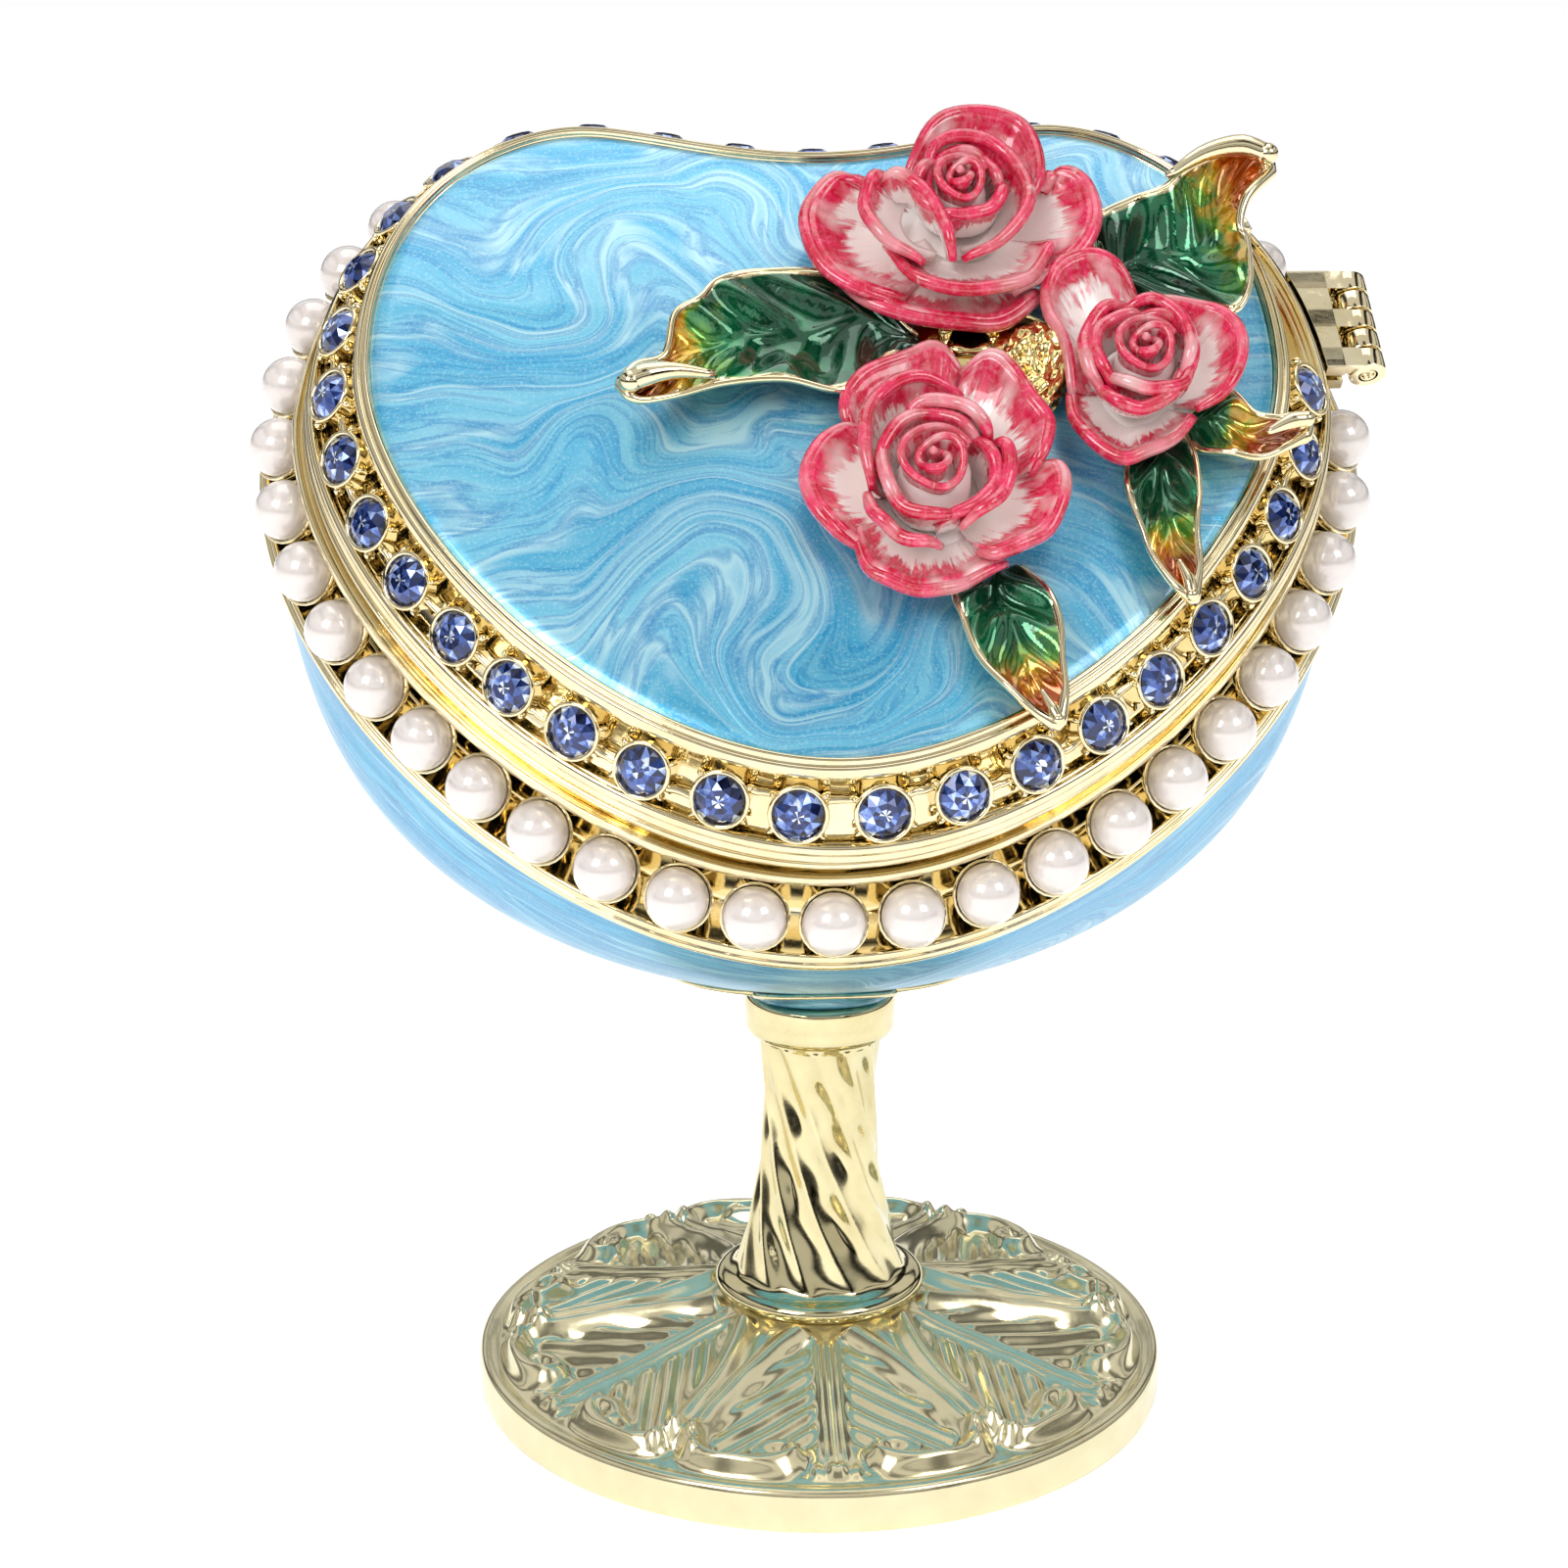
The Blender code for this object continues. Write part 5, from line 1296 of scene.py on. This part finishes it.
def leaf(name, left, right, low, high, fold, edges):
    """A cast leaf between its two edges, with a midrib, raised side veins and puckered blades."""
    rows = 64
    cols = 33
    one = smooth_line(left, rows)
    two = smooth_line(right, rows)
    across = np.linspace(-1, 1, cols)
    share = np.linspace(0, 1, rows)
    seed = len(name) * 7 + int(abs(left[0][0]))
    phase = np.random.default_rng(seed).uniform(0, TURN, 4)
    length = np.linalg.norm(np.array(left[-1]) - np.array(left[0]))
    veins = max(3, round(length / 2.1))
    upper = []
    for i, t in enumerate(share):
        flat = one[i] * (1 - (across[:, None] + 1) / 2) + two[i] * (across[:, None] + 1) / 2
        wide = np.linalg.norm(one[i] - two[i]) / 2
        grow = min(wide / 1.4, 1)
        level = low + (high - low) * t**1.6 + 0.5 * math.sin(math.pi * t)
        folded = fold * np.abs(across) ** 1.2 * grow * 0.6
        pucker = 0.3 * grow * np.sin(TURN * (veins * t - 0.9 * np.abs(across)) + phase[0])
        pucker = pucker * np.sin(np.pi * np.clip(np.abs(across), 0, 1)) ** 0.6 * (1 - t**3)
        ragged = 0.18 * grow * np.sin(across * 4 + t * 9 + phase[1])
        midrib = 0.22 * np.exp(-((across * wide / 0.22) ** 2)) * (1 - t)
        upper.append(np.column_stack([flat, level + folded + pucker + ragged + midrib]))
    upper = np.array(upper)
    lower = upper - np.array((0, 0, 0.42))
    points = np.vstack([upper.reshape(-1, 3), lower.reshape(-1, 3)])
    shift = rows * cols
    faces = grid_faces(rows, cols, closed=False)
    faces += grid_faces(rows, cols, closed=False, flip=True, start=shift)
    last = (rows - 1) * cols
    for j in range(cols - 1):
        faces.append((last + j, last + j + 1, shift + last + j + 1, shift + last + j))
        faces.append((j + 1, j, shift + j, shift + j + 1))
    for i in range(rows - 1):
        a, b = i * cols, (i + 1) * cols
        faces.append((a, b, shift + b, shift + a))
        a, b = a + cols - 1, b + cols - 1
        faces.append((b, a, shift + a, shift + b))
    along = np.repeat(share, cols)
    rim = np.tile(np.abs(across), rows)
    veined = np.maximum(rim, 0.0)
    if name == "leaf_side":
        along = 0.3 + 0.7 * along
    mesh = mesh_of(name, points, faces, along=np.tile(along, 2), rim=np.tile(veined, 2))
    piece(name, mesh, LEAF, "lid", BOX)
    # The gilt edge runs round the blade and swells at the curled tip
    path = np.vstack([upper[:, 0], upper[::-1, -1]])
    swell = np.concatenate([0.16 + 0.22 * share**6, (0.16 + 0.22 * share**6)[::-1]])
    edges.tube(path - (0, 0, 0.1), swell, 8)


LEAF = leaf_material()
# Near-black gold, a painted shadow for the deep gap between the castings
PAINTED_SHADOW_GOLD = gold("gold_in_shadow", (0.02, 0.017, 0.012), (0.008, 0.007, 0.005))


def make_spray():
    petals_finish = petal_material()
    for name, rose in ROSES.items():
        heap = Heap()
        for k, (edge, top, start, low, roll) in enumerate(rose["petals"]):
            petal(heap, rose["heart"], edge, top, start, low, roll, k + len(name))
        centre, radius, top = rose["bud"]
        bud(heap, np.array(centre), radius, top, rose["base"] + 1.2)
        cup_under(heap, np.array(rose["heart"]), rose["petals"], rose["base"] - 0.6)
        replaced = ["rose_spray"] if name == "rose_front" else ()
        piece(name, heap.mesh(name, "rim", "across"), petals_finish, "lid", BOX, replaced)
    edges = Heap()
    for name, (left, right, low, high, fold) in LEAVES.items():
        leaf(name, left, right, low, high, fold, edges)
    for path, radii in (
        ([(-5.4, -1.6, 7.8), (-7.2, -1.5, 8.0), (-8.6, -1.8, 8.1), (-9.3, -2.1, 8.0)], (0.2, 0.42, 0.62, 0.56)),
        ([(16.8, 9.8, 7.9), (18.6, 10.8, 8.4), (20.4, 11.1, 8.6), (21.7, 10.6, 8.6)], (0.18, 0.4, 0.58, 0.5)),
        ([(20.4, -4.6, 7.1), (21.6, -4.1, 7.3), (22.3, -4.0, 7.3)], (0.15, 0.4, 0.36)),
        ([(15.8, -10.9, 6.1), (16.2, -12.0, 6.0), (16.3, -12.7, 5.9)], (0.12, 0.32, 0.3)),
        ([(9.0, -17.6, 5.9), (9.5, -18.6, 5.8), (9.7, -19.1, 5.8)], (0.12, 0.3, 0.26)),
    ):
        bend = smooth_line(path, 14)
        thick = np.interp(np.linspace(0, 1, 14), np.linspace(0, 1, len(radii)), radii)
        edges.tube(bend, thick, 14)
        edges.ellipsoid(bend[-1], np.eye(3), (thick[-1] * 1.08,) * 3, 8, 14)
    piece("leaf_edges", edges.mesh("leaf_edges"), GOLD, "lid", BOX)

    # The rough lump of solder between the flowers
    patch = Heap()
    rows, sides = 26, 44
    turns = TURN * np.arange(sides) / sides
    lump = []
    for slope in np.linspace(0.12, math.pi / 2 + 0.3, rows)[::-1]:
        reach = np.column_stack([2.3 * np.sin(slope) * np.cos(turns), 2.1 * np.sin(slope) * np.sin(turns)])
        row = []
        for x, y in reach:
            spot = Vector((x * 1.1, y * 1.1, slope * 2))
            rough = noise.fractal(spot * 1.4, 0.7, 2.2, 5)
            row.append((9.7 + 0.3 * y + x * (0.82 + 0.12 * rough), -0.3 + y * (1.3 + 0.12 * rough),
                        5.6 + 1.5 * math.cos(slope) + 0.5 * rough))
        lump.append(row)
    lump = np.array(lump)
    faces = grid_faces(rows, sides)
    faces += [tuple(range((rows - 1) * sides, rows * sides)), tuple(range(sides))[::-1]]
    patch.add(lump, faces)
    # A near-black disc: painted shadow where the gap between the castings lies in deep shade
    hollow = Heap()
    hollow.ellipsoid(np.array((6.9, 2.0, 5.62)), np.eye(3), (1.0, 0.78, 0.1), 8, 24)
    ring_path = []
    for turn in np.linspace(0, TURN, 33):
        ring_path.append((6.9 + 1.15 * math.cos(turn), 2.0 + 0.92 * math.sin(turn), 5.6 + 0.12 * math.sin(3 * turn)))
    patch.ellipsoid(np.array((7.4, 1.4, 4.98)), np.eye(3), (4.4, 2.9, 0.62), 20, 40)
    patch.tube(ring_path, 0.3 + 0.1 * np.sin(np.linspace(0, 5 * TURN, 33)), 10)
    piece("hollow", hollow.mesh("hollow"), PAINTED_SHADOW_GOLD, "lid", BOX)
    piece("solder_patch", patch.mesh("solder_patch"), ROUGH_GOLD, "lid", BOX)


# Studio


def make_studio():
    mesh = bpy.data.meshes.new("floor")
    side = 3.0
    mesh.from_pydata([(-side, -side, 0), (side, -side, 0), (side, side, 0), (-side, side, 0)], [], [(0, 1, 2, 3)])
    floor = bpy.data.objects.new("floor", mesh)
    bpy.context.scene.collection.objects.link(floor)
    n = Nodes("floor_white", Roughness=0.8)
    n.shader.inputs["Base Color"].default_value = (0.9, 0.9, 0.9, 1)
    n.shader.inputs["Emission Color"].default_value = (1, 1, 1, 1)
    n.shader.inputs["Emission Strength"].default_value = 0.55
    floor.data.materials.append(n.material)
    floor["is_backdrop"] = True

    # A bright tent with a dark band low down, so that the polished gold gets its dark streaks. The
    # backdrop itself is white.
    world = bpy.data.worlds.new("studio")
    bpy.context.scene.world = world
    world.use_nodes = True
    tree = world.node_tree
    shade = tree.nodes["Background"]
    way = tree.nodes.new("ShaderNodeTexCoord")
    parts = tree.nodes.new("ShaderNodeSeparateXYZ")
    tree.links.new(way.outputs["Generated"], parts.inputs[0])
    ramp = tree.nodes.new("ShaderNodeValToRGB")
    line = ramp.color_ramp.elements
    stops = ((0.0, 0.5), (0.05, 0.16), (0.10, 0.03), (0.17, 0.05), (0.24, 0.72), (0.37, 0.74), (0.39, 0.04),
             (0.43, 0.04), (0.45, 0.85), (0.66, 0.85), (0.70, 0.12), (0.74, 0.12), (0.78, 0.8), (1.0, 0.8))
    while len(line) < len(stops):
        line.new(0.5)
    for element, (at, value) in zip(line, stops):
        element.position = at
        element.color = (value, value, value, 1)
    tree.links.new(parts.outputs["Z"], ramp.inputs["Fac"])
    far = tree.nodes.new("ShaderNodeVectorMath")
    far.operation = "DISTANCE"
    tree.links.new(way.outputs["Generated"], far.inputs[0])
    far.inputs[1].default_value = (0.05, -0.53, 0.85)
    card = tree.nodes.new("ShaderNodeMapRange")
    for socket, value in ((1, 0.13), (2, 0.18), (3, 0.1), (4, 1.0)):
        card.inputs[socket].default_value = value
    tree.links.new(far.outputs["Value"], card.inputs[0])
    dimmed = tree.nodes.new("ShaderNodeMix")
    dimmed.data_type = "RGBA"
    dimmed.blend_type = "MULTIPLY"
    dimmed.inputs["Factor"].default_value = 1.0
    tree.links.new(ramp.outputs["Color"], dimmed.inputs["A"])
    tree.links.new(card.outputs[0], dimmed.inputs["B"])
    # Two upright dark cards, one on each side
    parts = tree.nodes.new("ShaderNodeSeparateXYZ")
    tree.links.new(way.outputs["Generated"], parts.inputs[0])
    aside = tree.nodes.new("ShaderNodeMath")
    aside.operation = "ABSOLUTE"
    tree.links.new(parts.outputs["X"], aside.inputs[0])
    cards = tree.nodes.new("ShaderNodeValToRGB")
    cards.color_ramp.elements[0].position = 0.50
    cards.color_ramp.elements[0].color = (1, 1, 1, 1)
    cards.color_ramp.elements[1].position = 0.68
    cards.color_ramp.elements[1].color = (1, 1, 1, 1)
    for position in (0.54, 0.64):
        cards.color_ramp.elements.new(position).color = (0.04, 0.035, 0.03, 1)
    tree.links.new(aside.outputs[0], cards.inputs["Fac"])
    sides = tree.nodes.new("ShaderNodeMix")
    sides.data_type = "RGBA"
    sides.blend_type = "MULTIPLY"
    sides.inputs["Factor"].default_value = 1.0
    tree.links.new(dimmed.outputs["Result"], sides.inputs["A"])
    tree.links.new(cards.outputs["Color"], sides.inputs["B"])
    rays = tree.nodes.new("ShaderNodeLightPath")
    mix = tree.nodes.new("ShaderNodeMix")
    mix.data_type = "RGBA"
    tree.links.new(rays.outputs["Is Camera Ray"], mix.inputs["Factor"])
    tree.links.new(sides.outputs["Result"], mix.inputs["A"])
    mix.inputs["B"].default_value = (1.25, 1.25, 1.25, 1)
    tree.links.new(mix.outputs["Result"], shade.inputs["Color"])
    shade.inputs["Strength"].default_value = 0.88
    bpy.context.scene.view_settings.view_transform = "Standard"

    for name, place, size, power in (
        ("key_left", (-0.20, -0.26, 0.26), 0.16, 0.56),
        ("key_right", (0.22, -0.24, 0.28), 0.16, 0.32),
        ("top", (0.0, 0.10, 0.40), 0.30, 0.35),
    ):
        light = bpy.data.lights.new(name, "AREA")
        light.shape = "SQUARE"
        light.size = size
        light.energy = power
        lamp = bpy.data.objects.new(name, light)
        bpy.context.scene.collection.objects.link(lamp)
        lamp.location = place
        aim = Vector((0, 0, 0.04)) - Vector(place)
        lamp.rotation_euler = aim.to_track_quat("-Z", "Y").to_euler()

    view = bpy.data.cameras.new("camera")
    view.lens = 76.45
    view.sensor_width = 36
    camera = bpy.data.objects.new("camera", view)
    bpy.context.scene.collection.objects.link(camera)
    camera.location = (-0.00924, -0.16143, 0.07878)
    camera.rotation_euler = Euler((math.radians(74.01), 0, math.radians(-2.62)))
    bpy.context.scene.camera = camera


def plain(box):
    return [list(corner) for corner in box]


make_studio()
make_foot()
make_stem()
make_calyx()
make_bowl()
make_pearls()
make_lid()
make_lid_enamel()
make_stones()
make_hinge()
make_spray()
{"cad": plain(CAD_BOX), "visual": plain(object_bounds())}
